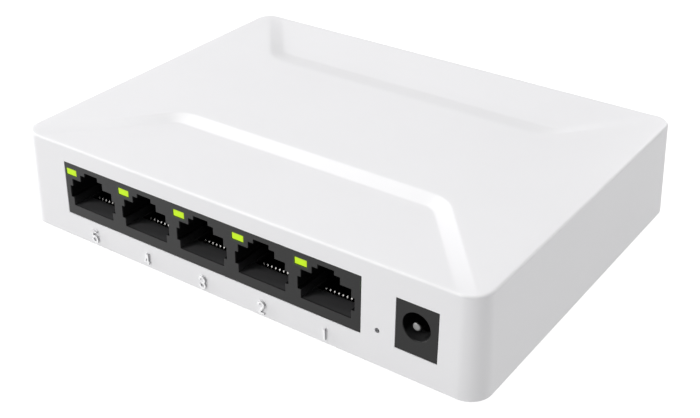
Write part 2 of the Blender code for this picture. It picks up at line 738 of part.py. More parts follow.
def make_power_jack(body_finish, metal_finish):
    """Barrel jack: moulded body, centre pin with its rear tail, and sleeve spring."""
    front = wall_front(0)
    axis_height = height(JACK_BORE_HEIGHT)
    body = place("power_jack_body", faced_block(
        "power_jack_body", JACK_X, JACK_WINDOW_WIDTH / 2 - GAP, BOARD_TOP + GAP,
        JACK_WINDOW_HIGH - GAP, JACK_DEPTH), body_finish)

    def along_bore(name, radius, near, far, sides):
        mesh = cylinders(name, [(0, 0)], radius, -far, -near, sides)
        mesh.transform(Matrix.Translation((JACK_BORE_X, 0, axis_height))
                       @ Matrix.Rotation(math.pi / 2, 4, "X"))
        return mesh

    boolean(body, "jack_bore",
            along_bore("jack_bore", JACK_BORE_RADIUS, front - OVERCUT,
                       behind(JACK_BORE_DEPTH), 24))
    boolean(body, "jack_pin_hole",
            along_bore("jack_pin_hole", JACK_PIN_RADIUS + JACK_PIN_CLEARANCE,
                       behind(JACK_BORE_DEPTH) - OVERCUT, behind(JACK_DEPTH) + OVERCUT, 12))
    near, far = JACK_SLOT_DEPTHS
    boolean(body, "jack_spring_slot", boxes("jack_spring_slot", [
        ((JACK_BORE_X - JACK_SLOT_HALF_WIDTH, behind(near), height(BOARD_TOP) - OVERCUT),
         (JACK_BORE_X + JACK_SLOT_HALF_WIDTH, behind(far), height(JACK_SLOT_HIGH)))]))

    tip = wall_front(JACK_BORE_HEIGHT) + FACE_SETBACK
    tail = behind(JACK_TERMINAL_DEPTHS[1])
    length = tail + JACK_TAIL_THICKNESS - tip
    profile = [(0.0, length), (JACK_PIN_RADIUS, length), (JACK_PIN_RADIUS, JACK_PIN_ROUND),
               (JACK_PIN_RADIUS - JACK_PIN_ROUND, 0.0), (0.0, 0.0)]
    pin = turned("power_jack_pin", profile, 16)
    pin.transform(Matrix.Translation((JACK_BORE_X, tip, axis_height))
                  @ Matrix.Rotation(-math.pi / 2, 4, "X"))
    terminal = boxes("pin_terminal", [
        ((JACK_BORE_X - JACK_TAIL_HALF_WIDTH, tail - JACK_TAIL_THICKNESS / 2, height(PIN_BOTTOM)),
         (JACK_BORE_X + JACK_TAIL_HALF_WIDTH, tail + JACK_TAIL_THICKNESS / 2,
          axis_height + JACK_TAIL_HALF_WIDTH))])
    place("power_jack_pin", combined("power_jack_pin", pin, terminal, "UNION"), metal_finish)

    root = behind(JACK_TERMINAL_DEPTHS[0])
    path = [(root, height(PIN_BOTTOM)), (root, height(JACK_SPRING_ROOT_HEIGHT))]
    path += [(behind(depth), height(rise)) for depth, rise in JACK_SPRING_BENDS]
    place("power_jack_spring",
          outline_mesh("power_jack_spring", strip_outline(path, JACK_SPRING_THICKNESS),
                       JACK_SPRING_WIDTH, side_view(JACK_BORE_X)), metal_finish)


def make_power_light(light_finish, guide_finish):
    """Small light on the board, and the clear guide that brings it to the pinhole."""
    place("power_light", boxes("power_light", [
        ((PINHOLE_X - LAMP_HALF_WIDTH, behind(LAMP_DEPTH - LAMP_HALF_LENGTH),
          height(BOARD_TOP) + GAP),
         (PINHOLE_X + LAMP_HALF_WIDTH, behind(LAMP_DEPTH + LAMP_HALF_LENGTH),
          height(BOARD_TOP + LAMP_RISE)))]), light_finish)
    outline = [(behind(0.0023), height(0.0072)), (behind(0.0050), height(0.0072)),
               (behind(0.0065), height(0.0072)), (behind(0.0065), height(0.0083)),
               (behind(0.0058), height(0.0090)), (behind(0.0023), height(0.0090))]
    place("power_light_guide",
          outline_mesh("power_light_guide", outline, GUIDE_WIDTH, side_view(PINHOLE_X)),
          guide_finish)


# ---------------------------------------------------------------- circuit board

def make_board(finish):
    """Circuit board with holes for every pin, leg, terminal and screw."""
    half = BOARD_WIDTH / 2
    board = place("circuit_board", boxes("circuit_board", [
        ((-half, behind(BOARD_FRONT), height(BOARD_LOW)),
         (half, behind(BOARD_BACK), height(BOARD_TOP)))]), finish)
    low = height(BOARD_LOW - 0.001)
    high = height(BOARD_TOP + 0.001)
    holes = []

    def slot(x, y, half_x, half_y):
        holes.append(((x - half_x, y - half_y, low), (x + half_x, y + half_y, high)))

    for index in range(PORT_COUNT):
        for i, offset in enumerate(contact_offsets()):
            slot(port_x(index) + offset, behind(PIN_ROWS[i % 2]), PIN_SLOT, PIN_SLOT)
        for leg in LEG_OFFSETS:
            slot(port_x(index) + LIGHT_OFFSET + leg, behind(LEG_DEPTH), LEG_THICKNESS,
                 LEG_THICKNESS)
    for depth in JACK_TERMINAL_DEPTHS:
        slot(JACK_BORE_X, behind(depth), JACK_TAIL_HALF_WIDTH + 0.0004, 0.0006)
    boolean(board, "pin_holes", boxes("pin_holes", holes))
    boolean(board, "board_screw_holes",
            cylinders("board_screw_holes", board_screw_centres(), BORE_RADIUS, low, high, 12))


def bevelled_box(name, size, rise, chamfer):
    """Chip body centred on X and Y, with its lower face at a height and its top chamfered."""
    bm = bmesh.new()
    add_box(bm, (-size[0] / 2, -size[1] / 2, rise), (size[0] / 2, size[1] / 2, rise + size[2]))
    top = [edge for edge in bm.edges
           if min(edge.verts[0].co.z, edge.verts[1].co.z) > rise + size[2] - 1e-6]
    bmesh.ops.bevel(bm, geom=top, offset=chamfer, segments=1, affect="EDGES")
    return finished(bm, name)


def chip_with_legs(name, size, leg_count, leg_pitch, leg_width):
    """Chip body with a row of bent legs along each long side, resting at Z = 0."""
    reach = size[1] / 2
    knee = size[2] * 0.45
    path = [(reach - 0.0003, knee), (reach + 0.0005, knee), (reach + 0.0008, 0.0001),
            (reach + 0.0015, 0.0001)]
    outline = strip_outline(path, 0.0002)
    legs = []
    for side in (-1, 1):
        for i in range(leg_count):
            x = (i - (leg_count - 1) / 2) * leg_pitch
            points = [(side * y, z) for y, z in outline]
            legs.append(outline_mesh("leg", points, leg_width, side_view(x)))
    body = bevelled_box(name, size, 0.0002, 0.0003)
    return combined(name, body, merged("legs", legs), "UNION")


def capacitor_mesh():
    """Upright electrolytic can with a crimped neck on a square base."""
    radius = 0.0031
    top = 0.0077
    profile = [(0.0, top), (radius - 0.0003, top), (radius, top - 0.0003), (radius, 0.0022),
               (radius - 0.0003, 0.0018), (radius, 0.0014), (radius, 0.0005), (0.0, 0.0005)]
    base = boxes("capacitor_base", [((-0.0033, -0.0033, 0.0), (0.0033, 0.0033, 0.0010))])
    return combined("capacitor", turned("capacitor_can", profile), base, "UNION")


def make_board_parts(finish):
    """Components soldered on top of the board."""
    seat = height(BOARD_TOP) + GAP
    transformer = chip_with_legs("transformer", (0.0127, 0.0070, 0.0055), 8, 0.00127, 0.0004)
    for index in range(PORT_COUNT):
        place(f"port_{PORT_COUNT - index}_transformer", transformer, finish["chip"],
              (port_x(index), behind(0.0255), seat))
    place("switch_chip", bevelled_box("switch_chip", (0.0120, 0.0120, 0.0012), 0.0, 0.0002),
          finish["chip"], (-0.0060, behind(0.0440), seat))
    small_chip = chip_with_legs("small_chip", (0.0049, 0.0039, 0.0015), 4, 0.00127, 0.0004)
    place("memory_chip", small_chip, finish["chip"], (-0.0230, behind(0.0470), seat))
    place("voltage_regulator", small_chip, finish["chip"], (0.0390, behind(0.0360), seat))
    crystal = bevelled_box("crystal", (0.0110, 0.0046, 0.0034), 0.0, 0.0008)
    place("crystal", crystal, finish["can"], (0.0110, behind(0.0470), seat))
    capacitor = capacitor_mesh()
    place("input_capacitor", capacitor, finish["can"], (JACK_X, behind(0.0260), seat))
    place("output_capacitor", capacitor, finish["can"], (JACK_X, behind(0.0480), seat))
    place("power_inductor", bevelled_box("power_inductor", (0.0060, 0.0060, 0.0030), 0.0, 0.0008),
          finish["ferrite"], (JACK_X + 0.0010, behind(0.0370), seat))
    place("protection_diode", bevelled_box("protection_diode", (0.0043, 0.0026, 0.0021), 0.0, 0.0004),
          finish["chip"], (0.0385, behind(0.0230), seat))
    place("isolation_capacitor",
          bevelled_box("isolation_capacitor", (0.0045, 0.0032, 0.0020), 0.0, 0.0003),
          finish["ceramic"], (-0.0490, behind(0.0240), seat))


# ---------------------------------------------------------------- assembly

for old in list(bpy.data.objects):
    bpy.data.objects.remove(old)

switch_parts = bpy.data.collections.new("desktop_network_switch")
cutters = bpy.data.collections.new("cutters")
for collection in (switch_parts, cutters):
    bpy.context.scene.collection.children.link(collection)
switch_root = bpy.data.objects.new("switch_root", None)
switch_parts.objects.link(switch_root)

white = material("case_white", (0.83, 0.83, 0.84), 0.42)
under_white = material("base_white", (0.80, 0.80, 0.81), 0.50)
black = material("socket_black", (0.045, 0.045, 0.047), 0.45)
contact_metal = material("contact_metal", (0.80, 0.74, 0.58), 0.25, 1.0)
nickel = material("nickel", (0.62, 0.62, 0.62), 0.28, 1.0)
lime = material("light_lime", (0.48, 0.95, 0.02), 0.30)
clear = material("guide_clear", (0.70, 0.72, 0.72), 0.15)
rubber = material("foot_rubber", (0.05, 0.05, 0.05), 0.80)
paper = material("label_paper", (0.72, 0.72, 0.72), 0.60)
steel = material("screw_steel", (0.45, 0.45, 0.46), 0.35, 1.0)
board_green = material("board_green", (0.02, 0.16, 0.06), 0.45)
part_finishes = {
    "chip": material("chip_black", (0.03, 0.03, 0.03), 0.50),
    "can": material("can_aluminium", (0.66, 0.66, 0.68), 0.30, 1.0),
    "ferrite": material("ferrite_grey", (0.10, 0.10, 0.11), 0.60),
    "ceramic": material("ceramic_tan", (0.42, 0.30, 0.18), 0.50),
}

make_top_cover(white)
make_bottom_cover(under_white)
make_label(paper)
make_feet(rubber)
make_screws(steel)
make_port_block(black)
make_port_fittings(contact_metal, lime)
make_power_jack(black, nickel)
make_power_light(lime, clear)
make_board(board_green)
make_board_parts(part_finishes)
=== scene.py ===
"""Looks of the desktop network switch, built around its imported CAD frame.

Metres, +Z up, ports towards -Y, origin on the table under the middle of the case.
"""

import math

import bmesh
import bpy
import numpy as np
from mathutils import Matrix, Vector


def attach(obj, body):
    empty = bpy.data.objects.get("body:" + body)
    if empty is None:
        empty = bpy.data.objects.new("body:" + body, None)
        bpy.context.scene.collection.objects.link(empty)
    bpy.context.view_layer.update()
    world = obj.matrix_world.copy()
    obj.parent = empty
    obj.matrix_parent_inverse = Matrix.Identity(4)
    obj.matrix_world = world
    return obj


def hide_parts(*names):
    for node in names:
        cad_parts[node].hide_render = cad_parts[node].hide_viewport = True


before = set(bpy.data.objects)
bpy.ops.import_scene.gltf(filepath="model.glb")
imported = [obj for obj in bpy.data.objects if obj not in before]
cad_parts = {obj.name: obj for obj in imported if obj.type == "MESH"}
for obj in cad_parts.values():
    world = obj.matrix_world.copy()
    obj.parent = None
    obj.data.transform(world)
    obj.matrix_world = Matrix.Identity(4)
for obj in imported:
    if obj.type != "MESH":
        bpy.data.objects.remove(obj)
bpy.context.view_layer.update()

# ---------------------------------------- dimensions, as in the CAD part

BASE = 0.0010
CASE_HEIGHT = 0.0227
LID = BASE + CASE_HEIGHT
LID_WIDTH, LID_DEPTH = 0.1175, 0.0865
WALL_FLARE = 0.00086
WALL = 0.0018
LID_THICKNESS = 0.0024
EDGE_ROUND = 0.00055

RIDGE_HALF_WIDTH, VALLEY_HALF_WIDTH = 0.05815, 0.05365
RECESS_TAPER = 0.8318
RECESS_EDGE_SHARE = 0.14
FRONT_RIDGE, FRONT_VALLEY = 0.0274, 0.0236
BACK_RIDGE, BACK_VALLEY = 0.0239, 0.0182
RIDGE_RADIUS, VALLEY_RADIUS = 0.0080, 0.0045

PORT_COUNT = 5
PORT_PITCH = 0.01575
PORTS_CENTRE = -0.00639
PORT_WINDOW_X, PORT_WINDOW_WIDTH = -0.00629, 0.07924
PORT_WINDOW_LOW, PORT_WINDOW_HIGH = 0.00592, 0.01858
PORT_FLOOR = 0.00835
PORT_STEPS = (
    (PORT_FLOOR, 0.01489, 0.00596), (0.01027, 0.01309, 0.00676),
    (0.01400, 0.01645, 0.00335), (0.01600, 0.01742, 0.00196),
)
PORT_DEPTH, BLOCK_DEPTH = 0.0141, 0.0166
FACE_SETBACK = 0.00005

CONTACT_COUNT, CONTACT_PITCH = 8, 0.00102
CONTACT_THICKNESS = 0.00030
CONTACT_RUN_HEIGHT = 0.00715
CONTACT_NOSE = ((0.00490, 0.00715), (0.00455, 0.00760), (0.00480, 0.00870))
CONTACT_END = (0.0130, 0.0098)
WELL_FRONT, WELL_BACK = 0.0041, 0.0140
WELL_HALF_WIDTH, WELL_LOW = 0.0055, 0.0068
PIN_WELL_FRONT, PIN_WELL_BACK = 0.0101, 0.0139
CARRIER_HALF = 0.0040
CARRIER_DEPTHS, CARRIER_HEIGHTS = (0.0104, 0.0136), (0.0063, 0.0078)
PIN_ROWS = (0.0112, 0.0128)
PIN_BOTTOM = 0.0035

LIGHT_OFFSET, LIGHT_WIDTH = -0.00598, 0.00290
LIGHT_LOW, LIGHT_HIGH = 0.01571, 0.01717
LIGHT_LENGTH = 0.0070
LEG_OFFSETS, LEG_THICKNESS, LEG_DEPTH = (-0.0007, 0.0007), 0.0005, BLOCK_DEPTH + 0.0010

JACK_X = 0.04570
JACK_WINDOW_WIDTH = 0.00927
JACK_WINDOW_LOW, JACK_WINDOW_HIGH = 0.00596, 0.01703
JACK_BORE_X, JACK_BORE_HEIGHT = 0.04560, 0.01227
JACK_BORE_RADIUS, JACK_BORE_DEPTH = 0.0030, 0.0100
JACK_DEPTH = 0.0142
JACK_PIN_RADIUS = 0.00095
JACK_TAIL_DEPTH, JACK_TAIL_HALF = 0.0152, 0.0012
JACK_SLOT_HALF = 0.0016
JACK_SLOT_DEPTHS, JACK_SLOT_HEIGHTS = (0.0032, 0.0124), (0.0039, 0.0099)

PINHOLE_X, PINHOLE_HEIGHT, PINHOLE_RADIUS = 0.03710, 0.0081, 0.00055

NUMERAL_STROKE, NUMERAL_RELIEF, NUMERAL_SUNK = 0.00046, 0.00045, 0.0003

CASE_SCREW_X, CASE_SCREW_Y = 0.0520, 0.0373
CASE_POST_RADIUS, CASE_POST_LOW, CASE_POST_INTO_LID = 0.0030, 0.0048, 0.0008
CASE_BORE_RADIUS, CASE_BORE_HEIGHTS = 0.0013, (0.0040, 0.0130)

LABEL_HALF_WIDTH, LABEL_HALF_DEPTH, LABEL_Y = 0.0200, 0.0115, 0.0025

# How far a cutting tool runs past what it cuts.
OVERCUT = 0.002

# ---------------------------------------- dimensions of the looks only

# Lid: depth of its recesses, softness of their edges, and spacing of its grid of points.
FRONT_DROP, BACK_DROP = 0.00096, 0.00080
FRONT_SOFTNESS, BACK_SOFTNESS = 0.00020, 0.00050
GRID_STEP = 0.0007
REFINE_WITHIN = (0.0011, 0.00045)

# Case corners: radius at the lid, and the share of the walls' flare that is added to it.
CORNER_RADIUS, CORNER_SHARE = 0.00434, 0.62

SEAM = 0.00006
CONTACT_WIDTH = 0.00028
JACK_PIN_ROUND = 0.0004
NUMERAL_HEIGHT = 0.00243
LABEL_MARGIN, LABEL_LINE = 0.0014, 0.00024

# Small roundings and bends that the CAD part leaves sharp.
WALL_SUPPORT = 0.00025
SKIRT_ROUND, SKIRT_INNER_ROUND = 0.0004, 0.00015
WINDOW_ROUND = 0.00008
NUMERAL_ROUND = 0.00006
HOUSING_ROUND = 0.00007
METAL_ROUND = 0.00006
WIRE_BEND, LEG_BEND = 0.0003, 0.0008
CARRIER_ROUND = 0.00015
LENS_ROUND = 0.00013
JACK_LIP, JACK_ROUND = 0.00014, 0.00008

# Where painted light and shade change: top of the numerals, top of a port's lit walls, depth of the
# lid's rim.
NUMERAL_ZONE = 0.0045
LIT_WALL_TOP = 0.0108
RIM_BAND = 0.0020

# Camera: place in metres, angles in degrees, lens and sensor in millimetres.
CAMERA_PLACE = (0.134877, -0.187822, 0.138575)
CAMERA_AZIMUTH, CAMERA_ELEVATION, CAMERA_ROLL = 34.833, 29.568, -0.192
CAMERA_LENS, CAMERA_SENSOR = 59.2755, 36.0
CAMERA_SHIFT = (-0.0225, -0.0308)

# Square lights: name, degrees round from +X, degrees up from the floor, width (m), power (W).
LIGHT_DISTANCE = 0.9
STUDIO_LIGHTS = (
    ("left", 180, 12, 0.45, 11.9),
    ("front_left", 240, 12, 0.45, 3.15),
    ("front_right", 300, 12, 0.45, 1.1),
    ("right", 0, 12, 0.45, 1.15),
    ("overhead", 45, 72, 0.40, 2.8),
    ("edge", 225, 47, 0.18, 1.35),
    ("back_right", 60, 30, 0.32, 1.3),
    ("back", 90, 30, 0.32, 1.0),
    ("back_low", 90, 12, 0.32, 0.7),
    ("back_left", 130, 50, 0.32, 0.6),
    ("left_high", 160, 50, 0.32, 1.0),
)


def height(above_base):
    """World Z of a height above the underside of the case."""
    return BASE + above_base


def behind(depth):
    """World Y of a depth behind the front edge of the lid."""
    return depth - LID_DEPTH / 2


def port_x(index):
    """World X of a port's centre, counted from the left."""
    return PORTS_CENTRE + (index - (PORT_COUNT - 1) / 2) * PORT_PITCH


def wall_y(z):
    """Y of the leaning front wall's outer face at a world Z."""
    return -LID_DEPTH / 2 - WALL_FLARE * (LID - z) / CASE_HEIGHT


# ---------------------------------------- mesh helpers

def finished(bm, name):
    """A mesh made from a bmesh, with its faces turned outward."""
    bmesh.ops.recalc_face_normals(bm, faces=bm.faces)
    mesh = bpy.data.meshes.new(name)
    bm.to_mesh(mesh)
    bm.free()
    return mesh


def add_box(bm, low, high):
    low, high = Vector(low), Vector(high)
    size = Matrix.Diagonal((*(high - low), 1.0))
    bmesh.ops.create_cube(bm, size=1.0, matrix=Matrix.Translation((low + high) / 2) @ size)


def boxes(name, corners):
    """One mesh of boxes, each given as its low and high corners."""
    bm = bmesh.new()
    for low, high in corners:
        add_box(bm, low, high)
    return finished(bm, name)


def cylinders(name, centres, radius, low, high, sides=48):
    """One mesh of upright cylinders between two values of Z."""
    bm = bmesh.new()
    for x, y in centres:
        bmesh.ops.create_cone(bm, cap_ends=True, segments=sides, radius1=radius, radius2=radius,
                              depth=high - low, matrix=Matrix.Translation((x, y, (low + high) / 2)))
    return finished(bm, name)


def baked(obj):
    """The object's mesh as its modifiers leave it, with loose caps welded; removes the object."""
    bpy.context.view_layer.update()
    graph = bpy.context.evaluated_depsgraph_get()
    mesh = bpy.data.meshes.new_from_object(obj.evaluated_get(graph))
    bm = bmesh.new()
    bm.from_mesh(mesh)
    bmesh.ops.remove_doubles(bm, verts=bm.verts, dist=1e-6)
    bmesh.ops.recalc_face_normals(bm, faces=bm.faces)
    bm.to_mesh(mesh)
    bm.free()
    bpy.data.objects.remove(obj)
    return mesh


def held(name, mesh):
    """An object of the scene that holds a mesh or curve."""
    obj = bpy.data.objects.new(name, mesh)
    bpy.context.scene.collection.objects.link(obj)
    return obj


def bevelled(mesh, width, segments=2, angle=30):
    """The mesh with its sharp edges rounded."""
    obj = held(mesh.name, mesh)
    bevel = obj.modifiers.new("Round", "BEVEL")
    bevel.width = width
    bevel.segments = segments
    bevel.limit_method = "ANGLE"
    bevel.angle_limit = math.radians(angle)
    bevel.miter_outer = "MITER_ARC" if segments > 1 else "MITER_SHARP"
    return baked(obj)


def combined(name, base, tools, operation="DIFFERENCE"):
    """The base mesh cut by, or joined with, each tool in turn."""
    obj = held(name, base)
    others = []
    for tool in tools:
        other = held(name + "_tool", tool)
        others.append(other)
        boolean = obj.modifiers.new("Boolean", "BOOLEAN")
        boolean.operation = operation
        boolean.object = other
    mesh = baked(obj)
    for other in others:
        bpy.data.objects.remove(other)
    mesh.name = name
    return mesh


def outline_mesh(name, points, thickness, matrix=Matrix()):
    """A flat outline drawn in XY, given a thickness along Z, then moved by a matrix."""
    curve = bpy.data.curves.new(name, "CURVE")
    curve.dimensions = "2D"
    curve.fill_mode = "BOTH"
    curve.extrude = thickness / 2
    spline = curve.splines.new("POLY")
    spline.points.add(len(points) - 1)
    for point, (x, y) in zip(spline.points, points):
        point.co = (x, y, 0.0, 1.0)
    spline.use_cyclic_u = True
    mesh = baked(held(name, curve))
    mesh.transform(matrix)
    return mesh


def side_view(x):
    """Stands an outline drawn as (depth, height) in the plane of one X."""
    return Matrix(((0, 0, 1, x), (1, 0, 0, 0), (0, 1, 0, 0), (0, 0, 0, 1)))


def front_view(y):
    """Stands an outline drawn as (X, height) in the plane of one Y."""
    return Matrix(((1, 0, 0, 0), (0, 0, -1, y), (0, 1, 0, 0), (0, 0, 0, 1)))


def turned(name, profile, steps=48):
    """Solid of revolution about Z from (radius, Z) points that run from top to bottom."""
    mesh = bpy.data.meshes.new(name)
    points = [(radius, 0.0, z) for radius, z in profile]
    mesh.from_pydata(points, [(i, i + 1) for i in range(len(points) - 1)], [])
    obj = held(name, mesh)
    screw = obj.modifiers.new("Turn", "SCREW")
    screw.steps = steps
    screw.render_steps = steps
    screw.use_merge_vertices = True
    screw.merge_threshold = 0.00001
    return baked(obj)


def merged(name, meshes):
    """Several meshes as one."""
    bm = bmesh.new()
    for mesh in meshes:
        bm.from_mesh(mesh)
    result = bpy.data.meshes.new(name)
    bm.to_mesh(result)
    bm.free()
    return result


def faced_block(name, centre, half_width, low, high, depth):
    """Block whose front face leans with the front wall, drawn as its side outline."""
    low, high = height(low), height(high)
    outline = [(wall_y(low) + FACE_SETBACK, low), (behind(depth), low),
               (behind(depth), high), (wall_y(high) + FACE_SETBACK, high)]
    return outline_mesh(name, outline, 2 * half_width, side_view(centre))


def arc(centre, radii, start, end, count):
    """Points of an elliptical arc, with its angles in degrees."""
    angles = [math.radians(start + (end - start) * i / count) for i in range(count + 1)]
    return [(centre[0] + radii[0] * math.cos(angle), centre[1] + radii[1] * math.sin(angle))
            for angle in angles]


def softened(path, radius, steps=4):
    """A path with each inner corner replaced by a short curve."""
    points = [Vector(point) for point in path]
    result = [points[0]]
    for before, corner, after in zip(points, points[1:], points[2:]):
        into = corner + (before - corner).normalized() * min(radius, (before - corner).length / 2)
        out = corner + (after - corner).normalized() * min(radius, (after - corner).length / 2)
        for i in range(steps + 1):
            t = i / steps
            result.append(into * (1 - t) ** 2 + corner * 2 * t * (1 - t) + out * t ** 2)
    return result + [points[-1]]


def strip_outline(path, thickness):
    """Outline of a bent strip of even thickness that follows a path."""
    points = [Vector(point) for point in path]
    left, right = [], []
    for i, point in enumerate(points):
        before = points[max(i - 1, 0)]
        after = points[min(i + 1, len(points) - 1)]
        into = (point - before).normalized() if i > 0 else (after - point).normalized()
        out = (after - point).normalized() if i < len(points) - 1 else into
        side = (into.orthogonal() + out.orthogonal()).normalized()
        reach = thickness / 2 / max(side.dot(into.orthogonal()), 0.4)
        left.append(point + side * reach)
        right.append(point - side * reach)
    return [tuple(point) for point in left + right[::-1]]


# ---------------------------------------- materials

class Nodes:
    """Short calls for building one material's nodes."""

    def __init__(self, name):
        self.material = bpy.data.materials.new(name)
        self.material.use_nodes = True
        self.tree = self.material.node_tree
        self.shader = self.tree.nodes["Principled BSDF"]
        place = self.tree.nodes.new("ShaderNodeTexCoord").outputs
        scale = self.node("ShaderNodeVectorMath", {"Vector": place["Object"]}, operation="SCALE")
        scale.inputs["Scale"].default_value = 1000.0
        self.mm = scale.outputs["Vector"]
        self.facing = place["Normal"]

    def node(self, kind, inputs=(), **settings):
        """A new node with its inputs linked or set, in order or by name."""
        made = self.tree.nodes.new(kind)
        for key, value in settings.items():
            setattr(made, key, value)
        for key, value in dict(inputs).items():
            if isinstance(value, bpy.types.NodeSocket):
                self.tree.links.new(value, made.inputs[key])
            else:
                made.inputs[key].default_value = value
        return made

    def noise(self, scale, detail=2.0, roughness=0.5, vector=None):
        """Noise with features 1/scale millimetres across."""
        return self.node("ShaderNodeTexNoise", {
            "Vector": vector or self.mm, "Scale": scale, "Detail": detail,
            "Roughness": roughness}).outputs["Fac"]

    def remap(self, value, low, high, from_low=0.0, from_high=1.0):
        """The value's range from_low..from_high stretched onto low..high, and clamped to it."""
        return self.node("ShaderNodeMapRange", {
            "Value": value, "From Min": from_low, "From Max": from_high,
            "To Min": low, "To Max": high}).outputs["Result"]

    def math(self, operation, a, b=0.0):
        return self.node("ShaderNodeMath", {0: a, 1: b}, operation=operation).outputs[0]

    def product(self, first, *others):
        """Product of several values, such as masks from 0 to 1."""
        for other in others:
            first = self.math("MULTIPLY", first, other)
        return first

    def mix(self, factor, a, b):
        """Mix two colours; each is a colour or a socket."""
        def full(value):
            return value if isinstance(value, bpy.types.NodeSocket) else (*value, 1.0)
        return self.node("ShaderNodeMix", {0: factor, 6: full(a), 7: full(b)},
                         data_type="RGBA").outputs[2]

    def set(self, **sockets):
        """Link or set the shader's inputs, by short names."""
        names = {"color": "Base Color", "rough": "Roughness", "metal": "Metallic", "ior": "IOR",
                 "specular": "Specular IOR Level", "transmission": "Transmission Weight",
                 "emission": "Emission Color", "strength": "Emission Strength"}
        for key, value in sockets.items():
            socket = self.shader.inputs[names[key]]
            if isinstance(value, bpy.types.NodeSocket):
                self.tree.links.new(value, socket)
            elif isinstance(value, tuple):
                socket.default_value = (*value, 1.0)
            else:
                socket.default_value = value
        return self

    def bump(self, layers):
        """Surface relief from (height socket, depth in metres) layers."""
        normal = None
        for value, depth in layers:
            made = self.node("ShaderNodeBump", {"Height": value, "Distance": depth,
                                                "Strength": 1.0})
            if normal:
                self.tree.links.new(normal, made.inputs["Normal"])
            normal = made.outputs["Normal"]
        self.tree.links.new(normal, self.shader.inputs["Normal"])
        return self


def split(n, vector):
    """X, Y and Z of a vector."""
    return n.node("ShaderNodeSeparateXYZ", {0: vector}).outputs


def wall_depth(n):
    """Millimetres behind the outer face of the leaning front wall."""
    place = split(n, n.mm)
    leaning = n.math("SUBTRACT", place["Y"],
                     n.math("MULTIPLY", place["Z"], WALL_FLARE / CASE_HEIGHT))
    return n.math("SUBTRACT", leaning, 1000 * wall_y(0.0))


def from_light(n):
    """Millimetres across and up from the middle of the nearest port light's face."""
    place = split(n, n.mm)
    pitch = 1000 * PORT_PITCH
    first = 1000 * (port_x(0) + LIGHT_OFFSET)
    in_pitch = n.math("MODULO", n.math("SUBTRACT", place["X"], first - pitch / 2), pitch)
    across = n.math("ABSOLUTE", n.math("SUBTRACT", in_pitch, pitch / 2))
    middle = 1000 * height((LIGHT_LOW + LIGHT_HIGH) / 2)
    along = n.math("ABSOLUTE", n.math("SUBTRACT", place["Z"], middle))
    return across, along


def flow(n, low=0.0, high=1.0):
    """Faint cloudiness of moulded plastic, some 30 mm across."""
    return n.remap(n.noise(0.035, 3.0, 0.55), low, high, 0.35, 0.65)


def grained(n, color, rough, grain, grain_scale=5.0, **sockets):
    """Moulded plastic's uneven gloss and fine spark-eroded grain, with a depth in metres."""
    gloss = n.remap(n.noise(0.6, 3.0), rough - 0.025, rough + 0.025, 0.3, 0.7)
    n.set(color=color, rough=gloss, ior=1.5, **sockets)
    return n.bump([(n.noise(grain_scale, 4.0, 0.6), grain),
                   (n.noise(0.25, 2.0), grain * 3)]).material


def moulded(name, color, rough, grain=0.0000015, grain_scale=5.0, shift=0.015):
    """Injection-moulded plastic whose colour shifts a little with the flow."""
    n = Nodes(name)
    dark, pale = (tuple(c * (1 + change) for c in color) for change in (-shift, shift))
    return grained(n, n.mix(flow(n), dark, pale), rough, grain, grain_scale)


def metal(name, color, rough, tarnish=0.06, shade_depths=None):
    """Plated or bare metal with fine drawing lines and slight tarnish.

    Given a pair of depths in millimetres, painted shade darkens it from the first depth to the
    second inside its socket.
    """
    n = Nodes(name)
    stretched = n.node("ShaderNodeVectorMath", {0: n.mm, 1: (1.0, 0.12, 1.0)},
                       operation="MULTIPLY").outputs["Vector"]
    lines = n.noise(14.0, 3.0, 0.6, stretched)
    stain = n.remap(n.noise(0.9, 4.0, 0.6), 0.0, 1.0, 0.35, 0.75)
    skin = n.mix(stain, color, tuple(c * (1 - tarnish * 3) for c in color))
    # Painted shade deep inside the socket.
    if shade_depths:
        skin = n.mix(n.remap(wall_depth(n), 0.0, 0.9, *shade_depths), skin, (0.02, 0.02, 0.02))
    n.set(color=skin, metal=1.0, rough=n.remap(lines, rough - 0.06, rough + 0.08, 0.3, 0.7))
    return n.bump([(lines, 0.000001)]).material


def light_lens():
    """Lime lens that glows, greener in the middle of its face than at its edges."""
    n = Nodes("light_lime")
    across, along = from_light(n)
    edge = n.math("MAXIMUM", n.math("DIVIDE", across, 500 * LIGHT_WIDTH),
                  n.math("DIVIDE", along, 500 * (LIGHT_HIGH - LIGHT_LOW)))
    glow = n.math("ADD", n.remap(edge, 0.0, 0.9, 0.25, 1.0),
                  n.remap(n.noise(0.8, 2.0, 0.5), -0.1, 0.1, 0.3, 0.7))
    n.set(color=(0.20, 0.42, 0.002), rough=0.34, specular=0.30,
          emission=n.mix(glow, (0.36, 0.50, 0.000), (0.355, 0.41, 0.006)), strength=1.0)
    return n.bump([(n.noise(6.0, 3.0), 0.000001)]).material


